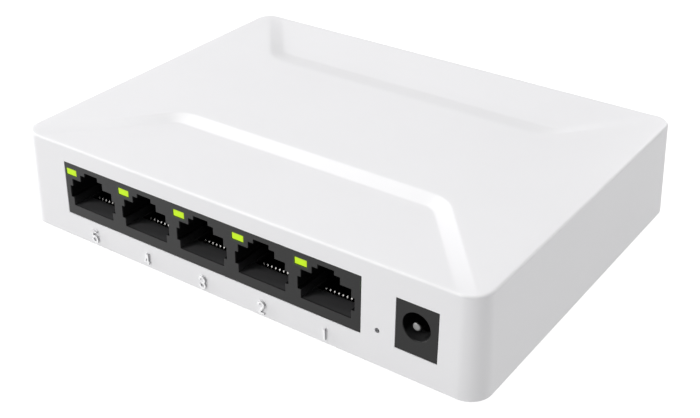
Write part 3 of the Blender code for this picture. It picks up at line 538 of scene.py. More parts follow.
def socket_plastic():
    """Satin black moulding, with painted light and shade along its front and inside its openings,
    and a painted green glow beside the lights.
    """
    n = Nodes("socket_black")
    place, depth = split(n, n.mm), wall_depth(n)
    inside = n.remap(depth, 0.0, 1.0, 0.10, 0.55)
    in_jack = n.math("LESS_THAN", 1000 * (PORT_WINDOW_X + PORT_WINDOW_WIDTH / 2), place["X"])

    # Painted light: the flush front is paler at the left end of the row than at the jack.
    painted_row_light = n.remap(place["X"], 0.0, 1.0, 1000 * (PORT_WINDOW_X - PORT_WINDOW_WIDTH / 2),
                        1000 * (JACK_X + JACK_WINDOW_WIDTH / 2))
    front = n.mix(n.math("ADD", painted_row_light, flow(n, -0.04, 0.04)),
                  (0.0210, 0.0210, 0.0215), (0.0030, 0.0030, 0.0032))

    # Painted shade: the walls of an opening darken from its floor upward and from its mouth inward.
    port_floor = 1000 * height(PORT_FLOOR)
    fade = n.math("MAXIMUM", n.remap(depth, 0.0, 1.0, 1.0, 8.0),
                  n.remap(place["Z"], 0.0, 1.0, port_floor, 1000 * height(LIT_WALL_TOP)))
    wall = n.mix(fade, (0.0360, 0.0360, 0.0370), (0.0045, 0.0045, 0.0048))

    # Painted light: its upward-facing floor is the palest; the lower side of the jack's bore is
    # less so.
    upward = n.remap(split(n, n.facing)["Z"], 0.0, 1.0, 0.5, 0.8)
    low = n.math("MAXIMUM", n.math("MULTIPLY", in_jack, 0.42),
                 n.remap(place["Z"], 1.0, 0.0, port_floor + 0.1, port_floor + 0.4))
    floor = n.product(upward, low, n.remap(depth, 0.92, 0.0, 3.0, 9.0))
    painted_inside = n.mix(floor, wall, (0.100, 0.100, 0.103))

    # Painted glow: lime light spilling onto the front around each lens is painted on as emission.
    across, along = from_light(n)
    away = n.math("MAXIMUM", n.math("SUBTRACT", across, 500 * LIGHT_WIDTH),
                  n.math("SUBTRACT", along, 500 * (LIGHT_HIGH - LIGHT_LOW)))
    spill = n.math("SUBTRACT", n.remap(away, 1.0, 0.0, 0.0, 0.55), in_jack)
    spill = n.math("MAXIMUM", n.math("SUBTRACT", spill, inside), 0.0)
    return grained(n, n.mix(inside, front, painted_inside), 0.395, 0.000002,
                   specular=n.remap(inside, 0.53, 0.10), emission=(0.28, 1.0, 0.02),
                   strength=n.math("MULTIPLY", spill, 0.03))


def case_plastic():
    """Satin white moulding, with a painted highlight on its front rim and numerals, and painted
    shade on the numerals' sides and in the pinhole.
    """
    n = Nodes("case_white")
    place, facing, depth = split(n, n.mm), split(n, n.facing), wall_depth(n)
    skin = n.mix(flow(n), (0.817, 0.814, 0.828), (0.827, 0.824, 0.838))

    # Raised numerals: a painted highlight whitens their front faces, and painted shade greys their
    # sides towards +X and below.
    numeral = n.math("MULTIPLY", n.math("LESS_THAN", depth, -0.03),
                     n.math("LESS_THAN", place["Z"], 1000 * height(NUMERAL_ZONE)))
    ahead = n.remap(facing["Y"], 1.0, 0.0, -0.98, -0.85)
    skin = n.mix(n.math("MULTIPLY", numeral, ahead), skin, (0.97, 0.97, 0.98))
    aside = n.math("ADD", n.remap(facing["X"], 0.0, 0.6, 0.3, 1.0),
                   n.remap(facing["Z"], 0.35, 0.0, -1.0, -0.3))
    grey = n.math("MULTIPLY", numeral, aside)

    # Painted highlight on the lid's front rim, where it faces forward and up.
    on_rim = n.math("GREATER_THAN", place["Z"], 1000 * (LID - RIM_BAND))
    rim = n.product(facing["Y"], facing["Z"], facing["Z"], on_rim)
    skin = n.mix(n.remap(rim, 0.0, 1.0, -0.13, -0.36), skin, (0.91, 0.907, 0.915))

    # Painted shade on the pinhole's wall, darker with depth.
    mouth = (PINHOLE_X, wall_y(height(PINHOLE_HEIGHT)), height(PINHOLE_HEIGHT))
    apart = n.node("ShaderNodeVectorMath", {0: n.mm, 1: tuple(1000 * c for c in mouth)},
                   operation="DISTANCE").outputs["Value"]
    painted_hole_shade = n.math("MULTIPLY", n.math("LESS_THAN", apart, 2000 * PINHOLE_RADIUS),
                     n.remap(depth, 0.0, 0.42, 0.02, 0.35))
    grey = n.math("MAXIMUM", grey, painted_hole_shade)
    return grained(n, n.mix(grey, skin, (0.11, 0.11, 0.12)), 0.30, 0.0000015)


def board_mask():
    """Green solder mask with copper runs under it, and bare pads."""
    n = Nodes("board_green")
    runs = n.node("ShaderNodeTexBrick", {
        "Vector": n.mm, "Scale": 0.35, "Mortar Size": 0.05, "Mortar Smooth": 0.3,
        "Brick Width": 2.2, "Row Height": 0.45}).outputs["Fac"]
    pads = n.node("ShaderNodeTexVoronoi", {"Vector": n.mm, "Scale": 0.28}).outputs["Distance"]
    pad = n.math("LESS_THAN", pads, 0.16)
    cloud = n.remap(n.noise(0.3, 3.0), 0.0, 1.0, 0.3, 0.7)
    mask = n.mix(cloud, (0.010, 0.105, 0.035), (0.016, 0.135, 0.048))
    traced = n.mix(runs, mask, (0.030, 0.210, 0.080))
    n.set(color=n.mix(pad, traced, (0.66, 0.62, 0.52)), metal=pad,
          rough=n.remap(pad, 0.38, 0.30))
    return n.bump([(runs, 0.00002), (n.noise(3.0, 2.0), 0.000003)]).material


def label_stock():
    """Blank satin label stock with a thin printed border."""
    n = Nodes("label_paper")
    fibre = n.noise(7.0, 4.0, 0.65)
    blot = n.remap(n.noise(0.2, 2.0), 0.0, 1.0, 0.3, 0.7)
    stock = n.mix(blot, (0.70, 0.70, 0.70), (0.74, 0.74, 0.735))
    parts = split(n, n.mm)
    across = n.math("ABSOLUTE", parts["X"])
    along = n.math("ABSOLUTE", n.math("SUBTRACT", parts["Y"], 1000 * LABEL_Y))
    edge = n.math("MAXIMUM",
                  n.math("SUBTRACT", across, 1000 * (LABEL_HALF_WIDTH - LABEL_MARGIN)),
                  n.math("SUBTRACT", along, 1000 * (LABEL_HALF_DEPTH - LABEL_MARGIN)))
    line = n.math("LESS_THAN", n.math("ABSOLUTE", edge), 500 * LABEL_LINE)
    n.set(color=n.mix(line, stock, (0.18, 0.18, 0.18)), rough=n.remap(fibre, 0.48, 0.62))
    return n.bump([(fibre, 0.000004)]).material


def rubber_pad():
    """Black rubber with specks and a little dust."""
    n = Nodes("foot_rubber")
    speck = n.noise(4.0, 5.0, 0.7)
    dust = n.remap(n.noise(0.5, 4.0, 0.6), 0.0, 1.0, 0.45, 0.8)
    n.set(color=n.mix(dust, (0.030, 0.030, 0.031), (0.060, 0.059, 0.057)),
          rough=n.remap(speck, 0.70, 0.86))
    return n.bump([(speck, 0.000012)]).material


def clear_guide():
    """Dark, slightly hazy clear moulding."""
    n = Nodes("guide_clear")
    haze = n.noise(1.2, 3.0)
    n.set(color=n.mix(n.remap(haze, 0.0, 1.0, 0.3, 0.7), (0.07, 0.08, 0.08), (0.11, 0.12, 0.12)),
          rough=n.remap(haze, 0.10, 0.22), transmission=0.20, ior=1.49)
    return n.bump([(haze, 0.000004)]).material


def speckled(name, color, rough, speck_color):
    """Pressed powder or fired ceramic with fine specks."""
    n = Nodes(name)
    grains = n.remap(n.noise(5.0, 5.0, 0.7), 0.0, 1.0, 0.62, 0.70)
    n.set(color=n.mix(grains, color, speck_color), rough=rough)
    return n.bump([(n.noise(6.0, 4.0), 0.000006)]).material


finish = {
    "case_white": case_plastic(),
    "base_white": moulded("base_white", (0.79, 0.79, 0.80), 0.46, grain=0.000004, grain_scale=3.0),
    "socket_black": socket_plastic(),
    "contact_metal": metal("contact_metal", (0.33, 0.32, 0.31), 0.30, shade_depths=(5.15, 5.5)),
    "nickel": metal("nickel", (0.36, 0.36, 0.36), 0.34, shade_depths=(0.05, 0.14)),
    "screw_steel": metal("screw_steel", (0.40, 0.40, 0.41), 0.32, tarnish=0.10),
    "can_metal": metal("can_metal", (0.66, 0.66, 0.68), 0.28),
    "light_lime": light_lens(),
    "lamp_green": moulded("lamp_green", (0.10, 0.30, 0.10), 0.22, shift=0.05),
    "guide_clear": clear_guide(),
    "foot_rubber": rubber_pad(),
    "label_paper": label_stock(),
    "board_green": board_mask(),
    "chip_black": moulded("chip_black", (0.022, 0.022, 0.023), 0.52, grain=0.000006,
                          grain_scale=8.0, shift=0.10),
    "ferrite_grey": speckled("ferrite_grey", (0.085, 0.085, 0.090), 0.58, (0.16, 0.16, 0.16)),
    "ceramic_tan": speckled("ceramic_tan", (0.42, 0.30, 0.18), 0.46, (0.55, 0.43, 0.28)),
}


def show(name, mesh, slot, replaced=(), smooth_angle=40):
    """Add one visible piece that rides on the case, takes a slot's finish and replaces nodes."""
    mesh.materials.clear()
    mesh.materials.append(finish[slot])
    mesh.shade_smooth()
    mesh.set_sharp_from_angle(angle=math.radians(smooth_angle))
    obj = held(name, mesh)
    weighted = obj.modifiers.new("Flat faces stay flat", "WEIGHTED_NORMAL")
    weighted.keep_sharp = True
    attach(obj, "root")
    if replaced:
        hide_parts(*replaced)
    return obj


# ---------------------------------------- top cover

def outline_distance(x, reach, half, limit, radius):
    """Signed distance to a recess outline with rounded inner corners; inside is negative."""
    slant = math.hypot(1.0, RECESS_TAPER)
    across = (np.abs(x) - (half - RECESS_TAPER * reach)) / slant
    centre_reach = limit - radius
    centre_x = half - RECESS_TAPER * centre_reach - radius * slant
    dx = np.abs(x) - centre_x
    dr = reach - centre_reach
    at_corner = (dr - RECESS_TAPER * dx > 0) & (dx > 0)
    return np.where(at_corner, np.hypot(dx, dr) - radius, np.maximum(across, reach - limit))


def recess_drop(x, reach, ridge, valley, deepest):
    """How far a sharp-edged recess lies below the lid, at a distance in from the lid's edge."""
    rim = outline_distance(x, reach, RIDGE_HALF_WIDTH, ridge, RIDGE_RADIUS)
    floor = outline_distance(x, reach, VALLEY_HALF_WIDTH, valley, VALLEY_RADIUS)
    share = np.clip(-rim / np.maximum(floor - rim, 1e-6), 0.0, 1.0)
    ramp = np.clip(reach / valley, 0.0, 1.0)
    return deepest * (RECESS_EDGE_SHARE + (1 - RECESS_EDGE_SHARE) * ramp) * share


def ridge_distance(x, y):
    """How far a point of the lid is from the nearest edge of a recess."""
    front, back = y + LID_DEPTH / 2, LID_DEPTH / 2 - y
    edges = [outline_distance(x, front, RIDGE_HALF_WIDTH, FRONT_RIDGE, RIDGE_RADIUS),
             outline_distance(x, front, VALLEY_HALF_WIDTH, FRONT_VALLEY, VALLEY_RADIUS),
             outline_distance(x, back, RIDGE_HALF_WIDTH, BACK_RIDGE, RIDGE_RADIUS),
             outline_distance(x, back, VALLEY_HALF_WIDTH, BACK_VALLEY, VALLEY_RADIUS)]
    return np.min(np.abs(edges), axis=0)


def softened_drop(x, reach, ridge, valley, deepest, softness):
    """The same drop with every edge of the recess softened."""
    taps = np.linspace(-2.0, 2.0, 7)
    weights = np.exp(-taps ** 2 / 2)
    weights /= weights.sum()
    total = np.zeros_like(x)
    for step_x, weight_x in zip(taps, weights):
        for step_y, weight_y in zip(taps, weights):
            total += weight_x * weight_y * recess_drop(x + step_x * softness,
                                                       reach + step_y * softness, ridge, valley,
                                                       deepest)
    return total


def lid_drop(x, y):
    """Depth of both recesses below the lid."""
    front = softened_drop(x, y + LID_DEPTH / 2, FRONT_RIDGE, FRONT_VALLEY, FRONT_DROP,
                          FRONT_SOFTNESS)
    back = softened_drop(x, LID_DEPTH / 2 - y, BACK_RIDGE, BACK_VALLEY, BACK_DROP, BACK_SOFTNESS)
    return front + back


def grid_lines(half, corner):
    """Positions of the lid's grid lines: even steps, then down into the rounded corner."""
    straight = np.arange(0.0, half - corner - GRID_STEP / 4, GRID_STEP)
    into = np.linspace(half - corner, half, 9)
    positive = np.concatenate([straight, into])
    return np.concatenate([-positive[:0:-1], positive])


def lid_grid():
    """X and Y of the lid's grid, bent so that its border is the rounded outline."""
    corner = CORNER_RADIUS - EDGE_ROUND
    half_x, half_y = LID_WIDTH / 2 - EDGE_ROUND, LID_DEPTH / 2 - EDGE_ROUND
    x, y = np.meshgrid(grid_lines(half_x, corner), grid_lines(half_y, corner))
    a = (np.abs(x) - (half_x - corner)) / corner
    b = (np.abs(y) - (half_y - corner)) / corner
    inside = (a > 0) & (b > 0)
    long = np.maximum(np.maximum(a, b), 1e-9)
    short = np.minimum(a, b) / long
    angle = np.where(a >= b, short, 2.0 - short) * math.pi / 4
    bent_x = np.copysign(half_x - corner + corner * long * np.cos(angle), x)
    bent_y = np.copysign(half_y - corner + corner * long * np.sin(angle), y)
    return np.where(inside, bent_x, x), np.where(inside, bent_y, y)


def refine_lid(bm, lid_count, fixed):
    """Split the lid's edges near the recess edges, then set every new point's height."""
    on_lid = bm.verts.layers.float.new("on_lid")
    bm.verts.ensure_lookup_table()
    for vert in bm.verts[:lid_count]:
        vert[on_lid] = 1.0
    for index in fixed:
        bm.verts[index][on_lid] = 0.0
    for reach in REFINE_WITHIN:
        edges = [edge for edge in bm.edges if min(v[on_lid] for v in edge.verts) > 0.9]
        middles = np.array([(edge.verts[0].co + edge.verts[1].co) / 2 for edge in edges])
        near = ridge_distance(middles[:, 0], middles[:, 1]) < reach
        bmesh.ops.subdivide_edges(bm, edges=[edge for edge, chosen in zip(edges, near) if chosen],
                                  cuts=1, use_grid_fill=True)
    verts = [vert for vert in bm.verts if vert[on_lid] > 0.9]
    places = np.array([vert.co for vert in verts])
    for vert, drop in zip(verts, lid_drop(places[:, 0], places[:, 1])):
        vert.co.z = LID - drop


def cover_shell():
    """Lid, rounded rim, leaning walls and inner faces as one closed mesh."""
    x, y = lid_grid()
    rows, columns = x.shape
    drop = lid_drop(x, y)
    index = np.arange(rows * columns).reshape(rows, columns)
    border = np.concatenate([index[0, :-1], index[:-1, -1], index[-1, :0:-1], index[:0:-1, 0]])
    points = [np.stack([x.ravel(), y.ravel(), LID - drop.ravel()], axis=1)]
    quads = np.stack([index[:-1, :-1], index[:-1, 1:], index[1:, 1:], index[1:, :-1]], axis=-1)
    faces = [tuple(quad) for quad in quads.reshape(-1, 4).tolist()]

    core = np.array([LID_WIDTH / 2 - CORNER_RADIUS, LID_DEPTH / 2 - CORNER_RADIUS])
    rim = points[0][border, :2]
    base = np.clip(rim, -core, core)
    outward = (rim - base) / (CORNER_RADIUS - EDGE_ROUND)
    share = base / core
    sunk = drop.ravel()[border]

    def ring(z, inset):
        z = np.broadcast_to(z, sunk.shape)
        grow = (WALL_FLARE * (LID - z) / CASE_HEIGHT)[:, None]
        centre = share * (core + (1 - CORNER_SHARE) * grow)
        flat = centre + outward * (CORNER_RADIUS + CORNER_SHARE * grow - inset)
        points.append(np.column_stack([flat, z]))

    steps = 7
    for k in range(1, steps + 1):
        turn = k / steps * math.pi / 2
        ring(LID - sunk - EDGE_ROUND * (1 - math.cos(turn)), EDGE_ROUND * (1 - math.sin(turn)))
    ring(LID - sunk - EDGE_ROUND - WALL_SUPPORT, 0.0)
    ring(BASE + SKIRT_ROUND + WALL_SUPPORT, 0.0)
    steps = 4
    for k in range(steps + 1):
        turn = k / steps * math.pi / 2
        ring(BASE + SKIRT_ROUND * (1 - math.sin(turn)), SKIRT_ROUND * (1 - math.cos(turn)))
    ring(BASE, WALL - SKIRT_INNER_ROUND)
    ring(BASE + SKIRT_INNER_ROUND, WALL)
    ring(LID - LID_THICKNESS, WALL)

    count = len(border)
    loops = [border] + [rows * columns + np.arange(count) + count * k
                        for k in range(len(points) - 1)]
    around = np.roll(np.arange(count), -1)
    for upper, lower in zip(loops, loops[1:]):
        faces += [tuple(face) for face in
                  np.stack([upper, lower, lower[around], upper[around]], axis=1).tolist()]
    faces.append(tuple(loops[-1][::-1].tolist()))
    mesh = bpy.data.meshes.new("top_cover")
    mesh.from_pydata(np.concatenate(points).tolist(), [], faces)
    mesh.update()
    bm = bmesh.new()
    bm.from_mesh(mesh)
    refine_lid(bm, rows * columns, border.tolist())
    return finished(bm, "top_cover")


def numeral_paths():
    """Centre lines of the strokes of each numeral from 5 to 1, in the ports' order."""
    half, top = 0.00070, 0.00134
    bowl = (0.00070, 0.00081)
    upper_radii, lower_radii = (0.00066, 0.00065), (0.00070, 0.00070)
    upper = (0.0, top - upper_radii[1])
    return [
        ([(half, top), (-half * 0.8, top), (-half * 0.8, 0.0)],
         arc((0.0, bowl[1] - top), bowl, 125, -185, 22)),
        ([(half, -0.55 * top), (-half, -0.55 * top), (half * 0.30, top)],
         [(half * 0.38, top), (half * 0.38, -top)]),
        (arc(upper, upper_radii, 190, -85, 20),
         arc((0.0, lower_radii[1] - top), lower_radii, 88, -190, 20)),
        (arc(upper, upper_radii, 195, -30, 16) + [(-half * 0.9, -top)],
         [(-half, -top), (half, -top)]),
        ([(0.0, top), (0.0, -top)],),
    ]


def numeral_strokes():
    """Raised ribs of the numerals, in groups whose strokes don't touch each other."""
    lean = math.atan(WALL_FLARE / CASE_HEIGHT)
    groups = ([], [])
    for index, paths in enumerate(numeral_paths()):
        stand = (Matrix.Translation((port_x(index), wall_y(height(NUMERAL_HEIGHT)),
                                     height(NUMERAL_HEIGHT)))
                 @ Matrix.Rotation(lean, 4, "X") @ front_view(0)
                 @ Matrix.Translation((0, 0, (NUMERAL_RELIEF - NUMERAL_SUNK) / 2)))
        for group, path in zip(groups, paths):
            rib = outline_mesh("stroke", strip_outline(path, NUMERAL_STROKE),
                               NUMERAL_RELIEF + NUMERAL_SUNK)
            rib = bevelled(rib, NUMERAL_ROUND, 2)
            rib.transform(stand)
            group.append(rib)
    return [merged("numeral_strokes", group) for group in groups]


def round_openings(mesh, width):
    """Round the outer edges of the windows in the front wall."""
    bm = bmesh.new()
    bm.from_mesh(mesh)
    edges = []
    for edge in bm.edges:
        if len(edge.link_faces) != 2 or edge.calc_face_angle(0.0) < math.radians(60):
            continue
        middle = (edge.verts[0].co + edge.verts[1].co) / 2
        if math.hypot(middle.x - PINHOLE_X, middle.z - height(PINHOLE_HEIGHT)) < 0.0015:
            continue
        if all(abs(vert.co.y - wall_y(vert.co.z)) < 4e-6
               and PORT_WINDOW_LOW - 0.0002 < vert.co.z - BASE < PORT_WINDOW_HIGH + 0.0002
               for vert in edge.verts):
            edges.append(edge)
    bmesh.ops.bevel(bm, geom=edges, offset=width, segments=3, profile=0.5, affect="EDGES",
                    clamp_overlap=True)
    bm.to_mesh(mesh)
    bm.free()
    return mesh


def make_top_cover():
    """The white cover with its windows, pinhole, numerals and bored screw posts."""
    through = WALL + OVERCUT
    openings = boxes("windows", [
        ((PORT_WINDOW_X - PORT_WINDOW_WIDTH / 2, behind(-through), height(PORT_WINDOW_LOW)),
         (PORT_WINDOW_X + PORT_WINDOW_WIDTH / 2, behind(through), height(PORT_WINDOW_HIGH))),
        ((JACK_X - JACK_WINDOW_WIDTH / 2, behind(-through), height(JACK_WINDOW_LOW)),
         (JACK_X + JACK_WINDOW_WIDTH / 2, behind(through), height(JACK_WINDOW_HIGH))),
    ])
    pinhole = cylinders("pinhole", [(0, 0)], PINHOLE_RADIUS, -through, through, 32)
    pinhole.transform(Matrix.Translation((PINHOLE_X, behind(0), height(PINHOLE_HEIGHT)))
                      @ Matrix.Rotation(math.pi / 2, 4, "X"))
    shell = combined("top_cover", cover_shell(), [openings, pinhole])
    shell = round_openings(shell, WINDOW_ROUND)
    screws = [(side * CASE_SCREW_X, CASE_SCREW_Y) for side in (-1, 1)]
    posts = cylinders("posts", screws, CASE_POST_RADIUS, height(CASE_POST_LOW),
                      LID - LID_THICKNESS + CASE_POST_INTO_LID)
    shell = combined("top_cover", shell, numeral_strokes() + [posts], "UNION")
    low, high = CASE_BORE_HEIGHTS
    bores = cylinders("bores", screws, CASE_BORE_RADIUS, height(low), height(high), 24)
    shell = combined("top_cover", shell, [bores])
    show("top_cover_shell", shell, "case_white", ["top_cover"], 25)


make_top_cover()

# ---------------------------------------- port block, contacts, lights

def make_port_block():
    """Black five-way socket housing with softened corners."""
    front = wall_y(BASE)
    body = faced_block("port_block", PORT_WINDOW_X, PORT_WINDOW_WIDTH / 2 - SEAM,
                       PORT_WINDOW_LOW + SEAM, PORT_WINDOW_HIGH - SEAM, BLOCK_DEPTH)
    ports = range(PORT_COUNT)
    tools = [boxes("step", [((port_x(i) - half_width, front - OVERCUT, height(low)),
                             (port_x(i) + half_width, behind(PORT_DEPTH), height(top)))
                            for i in ports]) for low, top, half_width in PORT_STEPS]
    reach = CARRIER_HALF + 0.0003
    tools.append(boxes("wells", [
        ((port_x(i) - WELL_HALF_WIDTH, behind(WELL_FRONT), height(WELL_LOW)),
         (port_x(i) + WELL_HALF_WIDTH, behind(WELL_BACK), height(PORT_FLOOR + 0.001)))
        for i in ports]))
    tools.append(boxes("pin_wells", [
        ((port_x(i) - reach, behind(PIN_WELL_FRONT), height(0.005)),
         (port_x(i) + reach, behind(PIN_WELL_BACK), height(WELL_LOW + 0.001)))
        for i in ports]))
    side = LIGHT_WIDTH / 2 + SEAM
    tools.append(boxes("channels", [
        ((port_x(i) + LIGHT_OFFSET - side, front - OVERCUT, height(LIGHT_LOW) - SEAM),
         (port_x(i) + LIGHT_OFFSET + side, behind(BLOCK_DEPTH + OVERCUT),
          height(LIGHT_HIGH) + SEAM))
        for i in ports]))
    cut = combined("port_block", body, tools)
    show("port_block_housing", bevelled(cut, HOUSING_ROUND, 2), "socket_black", ["port_block"])


def contact_offsets():
    """X of each contact wire from the middle of its port."""
    return [(i - (CONTACT_COUNT - 1) / 2) * CONTACT_PITCH for i in range(CONTACT_COUNT)]


def make_contacts():
    """Sprung contact wires of each port and the black carrier that holds them."""
    wires = []
    for i, x in enumerate(contact_offsets()):
        pin = behind(PIN_ROWS[i % 2])
        path = [(pin, height(PIN_BOTTOM)), (pin, height(CONTACT_RUN_HEIGHT))]
        path += [(behind(depth), height(rise)) for depth, rise in (*CONTACT_NOSE, CONTACT_END)]
        path = softened(path, WIRE_BEND)
        wire = outline_mesh("wire", strip_outline(path, CONTACT_THICKNESS), CONTACT_WIDTH,
                            side_view(x))
        wires.append(bevelled(wire, METAL_ROUND, 2, 50))
    wire_mesh = merged("contacts", wires)
    carrier = bevelled(boxes("carrier", [
        ((-CARRIER_HALF, behind(CARRIER_DEPTHS[0]), height(CARRIER_HEIGHTS[0])),
         (CARRIER_HALF, behind(CARRIER_DEPTHS[1]), height(CARRIER_HEIGHTS[1])))]), CARRIER_ROUND)
    for index in range(PORT_COUNT):
        number = PORT_COUNT - index
        shift = Matrix.Translation((port_x(index), 0, 0))
        for mesh, name, slot in ((wire_mesh, "contact_wires", "contact_metal"),
                                 (carrier, "contact_carrier", "socket_black")):
            moved = mesh.copy()
            moved.transform(shift)
            replaced = [f"port_{number}_contacts"] if mesh is wire_mesh else ()
            show(f"port_{number}_{name}", moved, slot, replaced)


def make_lights():
    """Lime lens bar of each port light, and its two bent legs."""
    half = LIGHT_WIDTH / 2
    front = wall_y(height(LIGHT_HIGH)) + FACE_SETBACK
    bar = boxes("lens", [((-half, front, height(LIGHT_LOW)),
                          (half, front + LIGHT_LENGTH, height(LIGHT_HIGH)))])
    lens = bevelled(bar, LENS_ROUND, 3)
    middle = height((LIGHT_LOW + LIGHT_HIGH) / 2)
    path = softened([(front + LIGHT_LENGTH - 0.0005, middle), (behind(LEG_DEPTH), middle),
                     (behind(LEG_DEPTH), height(PIN_BOTTOM))], LEG_BEND)
    legs = merged("legs", [bevelled(outline_mesh(
        "leg", strip_outline(path, LEG_THICKNESS), LEG_THICKNESS, side_view(x)), METAL_ROUND, 2, 50)
        for x in LEG_OFFSETS])
    for index in range(PORT_COUNT):
        number = PORT_COUNT - index
        shift = Matrix.Translation((port_x(index) + LIGHT_OFFSET, 0, 0))
        for mesh, name, slot in ((lens, "light_lens", "light_lime"),
                                 (legs, "light_legs", "contact_metal")):
            moved = mesh.copy()
            moved.transform(shift)
            replaced = [f"port_{number}_light"] if mesh is lens else ()
            show(f"port_{number}_{name}", moved, slot, replaced)


make_port_block()
make_contacts()
make_lights()

# ---------------------------------------- power jack

def along_bore(mesh):
    """Lay a mesh made about Z along the jack's axis, with Z running into the case."""
    mesh.transform(Matrix.Translation((JACK_BORE_X, 0, height(JACK_BORE_HEIGHT)))
                   @ Matrix.Rotation(-math.pi / 2, 4, "X"))
    return mesh


def make_power_jack():
    """Moulded jack body with a lipped bore, and its turned centre pin."""
    front = wall_y(height(JACK_BORE_HEIGHT)) + FACE_SETBACK
    body = faced_block("jack", JACK_X, JACK_WINDOW_WIDTH / 2 - SEAM, JACK_WINDOW_LOW + SEAM,
                       JACK_WINDOW_HIGH - SEAM, JACK_DEPTH)
    lip = JACK_LIP
    bore = along_bore(turned("bore", [
        (0.0, behind(JACK_BORE_DEPTH)), (JACK_BORE_RADIUS, behind(JACK_BORE_DEPTH)),
        (JACK_BORE_RADIUS, front + lip), (JACK_BORE_RADIUS + lip * 0.35, front + lip * 0.35),
        (JACK_BORE_RADIUS + lip, front), (JACK_BORE_RADIUS + lip, front - 0.001),
        (0.0, front - 0.001)], 64))
    pin_hole = along_bore(cylinders("pin_hole", [(0, 0)], JACK_PIN_RADIUS + 0.0003,
                                    behind(JACK_BORE_DEPTH - 0.001), behind(JACK_DEPTH + 0.001)))
    near, far = JACK_SLOT_DEPTHS
    low, high = JACK_SLOT_HEIGHTS
    slot = boxes("slot", [((JACK_BORE_X - JACK_SLOT_HALF, behind(near), height(low)),
                           (JACK_BORE_X + JACK_SLOT_HALF, behind(far), height(high)))])
    housing = combined("jack", body, [bore, pin_hole, slot])
    show("power_jack_housing", bevelled(housing, JACK_ROUND), "socket_black", ["power_jack_body"])

    tip = front
    tail = behind(JACK_TAIL_DEPTH)
    radius = JACK_PIN_RADIUS
    nose = [(radius - JACK_PIN_ROUND * (1 - math.sin(turn)),
             tip + JACK_PIN_ROUND * (1 - math.cos(turn)))
            for turn in (math.radians(angle) for angle in range(90, -1, -15))]
    pin = along_bore(turned("pin", [(0.0, tail + 0.0004), (radius, tail + 0.0004)] + nose
                            + [(0.0, tip)]))
    terminal = bevelled(boxes("terminal", [
        ((JACK_BORE_X - JACK_TAIL_HALF, tail - 0.0002, height(PIN_BOTTOM)),
         (JACK_BORE_X + JACK_TAIL_HALF, tail + 0.0002,
          height(JACK_BORE_HEIGHT) + JACK_TAIL_HALF))]), METAL_ROUND)
    show("power_jack_centre_pin", combined("pin", pin, [terminal], "UNION"), "nickel",
         ["power_jack_pin"])


make_power_jack()

# ---------------------------------------- underside and fasteners

def refined(node, slot, width, segments=2):
    """A rounded copy of a CAD node's own shape, which then stands for it."""
    bm = bmesh.new()
    bm.from_mesh(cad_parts[node].data)
    bmesh.ops.remove_doubles(bm, verts=bm.verts, dist=2e-6)
    bmesh.ops.dissolve_limit(bm, angle_limit=math.radians(0.5), use_dissolve_boundaries=False,
                             verts=bm.verts, edges=bm.edges)
    bmesh.ops.triangulate(bm, faces=bm.faces)
    mesh = bevelled(finished(bm, node), width, segments)
    return show(node + "_shape", mesh, slot, [node])


refined("bottom_cover", "base_white", 0.00012)
refined("rating_label", "label_paper", 0.00004)
for foot in ("front_left", "front_right", "rear_left", "rear_right"):
    refined("foot_" + foot, "foot_rubber", 0.00012, 3)
for side in ("left", "right"):
    refined("case_screw_" + side, "screw_steel", 0.00008)
    refined("board_screw_" + side, "screw_steel", 0.00008)
refined("power_jack_spring", "contact_metal", 0.00006)
refined("power_light", "lamp_green", 0.00006)
refined("power_light_guide", "guide_clear", 0.00010)

# ---------------------------------------- circuit board

refined("circuit_board", "board_green", 0.00008)
for number in range(1, PORT_COUNT + 1):
    refined(f"port_{number}_transformer", "chip_black", 0.00010)
for node, slot in (("switch_chip", "chip_black"), ("memory_chip", "chip_black"),
                   ("voltage_regulator", "chip_black"), ("protection_diode", "chip_black"),
                   ("crystal", "can_metal"), ("input_capacitor", "can_metal"),
                   ("output_capacitor", "can_metal"), ("power_inductor", "ferrite_grey"),
                   ("isolation_capacitor", "ceramic_tan")):
    refined(node, slot, 0.00010)

# ---------------------------------------- floor, lights, camera

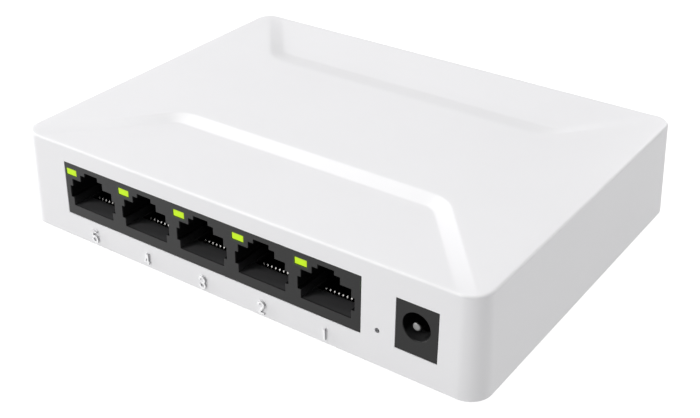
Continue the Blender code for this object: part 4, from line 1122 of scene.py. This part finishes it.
def make_floor():
    """Plain floor: white to the camera, and a pale grey to everything that it lights."""
    bm = bmesh.new()
    bmesh.ops.create_grid(bm, x_segments=1, y_segments=1, size=3.0)
    floor = held("floor", finished(bm, "floor"))
    n = Nodes("floor_white")
    seen = n.node("ShaderNodeLightPath").outputs["Is Camera Ray"]
    cloud = n.remap(n.noise(0.004, 2.0), 0.0, 1.0, 0.3, 0.7)
    n.set(color=n.mix(cloud, (0.13, 0.13, 0.13), (0.15, 0.15, 0.15)), rough=0.9,
          emission=(1.0, 1.0, 1.0), strength=n.remap(seen, 0.64, 1.0), specular=0.1)
    floor.data.materials.append(n.material)


def area_light(name, azimuth, elevation, size, power):
    """A square light that faces the object, at degrees round from +X and up from the floor."""
    light = bpy.data.lights.new(name, "AREA")
    light.shape = "SQUARE"
    light.size = size
    light.energy = power
    obj = bpy.data.objects.new(name, light)
    bpy.context.scene.collection.objects.link(obj)
    turn, rise = math.radians(azimuth), math.radians(elevation)
    away = Vector((math.cos(turn) * math.cos(rise), math.sin(turn) * math.cos(rise),
                   math.sin(rise)))
    obj.location = away * LIGHT_DISTANCE
    obj.rotation_euler = (-away).to_track_quat("-Z", "Y").to_euler()


def make_lighting():
    """Soft studio light from all around; the world itself gives none."""
    world = bpy.data.worlds.new("studio")
    bpy.context.scene.world = world
    world.use_nodes = True
    world.node_tree.nodes["Background"].inputs["Strength"].default_value = 0.0
    for light in STUDIO_LIGHTS:
        area_light(*light)
    bpy.context.scene.view_settings.view_transform = "Standard"


def make_camera():
    """Camera high over the front right corner, with no depth of field."""
    azimuth, elevation, roll = (math.radians(angle) for angle in (
        CAMERA_AZIMUTH, CAMERA_ELEVATION, CAMERA_ROLL))
    back = Vector((math.sin(azimuth) * math.cos(elevation),
                   -math.cos(azimuth) * math.cos(elevation), math.sin(elevation)))
    right = (-back).cross(Vector((0, 0, 1))).normalized()
    up = right.cross(-back)
    turned_right = right * math.cos(roll) + up * math.sin(roll)
    turned_up = up * math.cos(roll) - right * math.sin(roll)
    camera = bpy.data.objects.new("camera", bpy.data.cameras.new("camera"))
    bpy.context.scene.collection.objects.link(camera)
    turn = Matrix((turned_right, turned_up, back)).transposed().to_4x4()
    camera.matrix_world = Matrix.Translation(CAMERA_PLACE) @ turn
    camera.data.sensor_width = CAMERA_SENSOR
    camera.data.lens = CAMERA_LENS
    camera.data.shift_x, camera.data.shift_y = CAMERA_SHIFT
    camera.data.clip_start = 0.01
    camera.data.clip_end = 20.0
    bpy.context.scene.camera = camera


make_floor()
make_lighting()
make_camera()
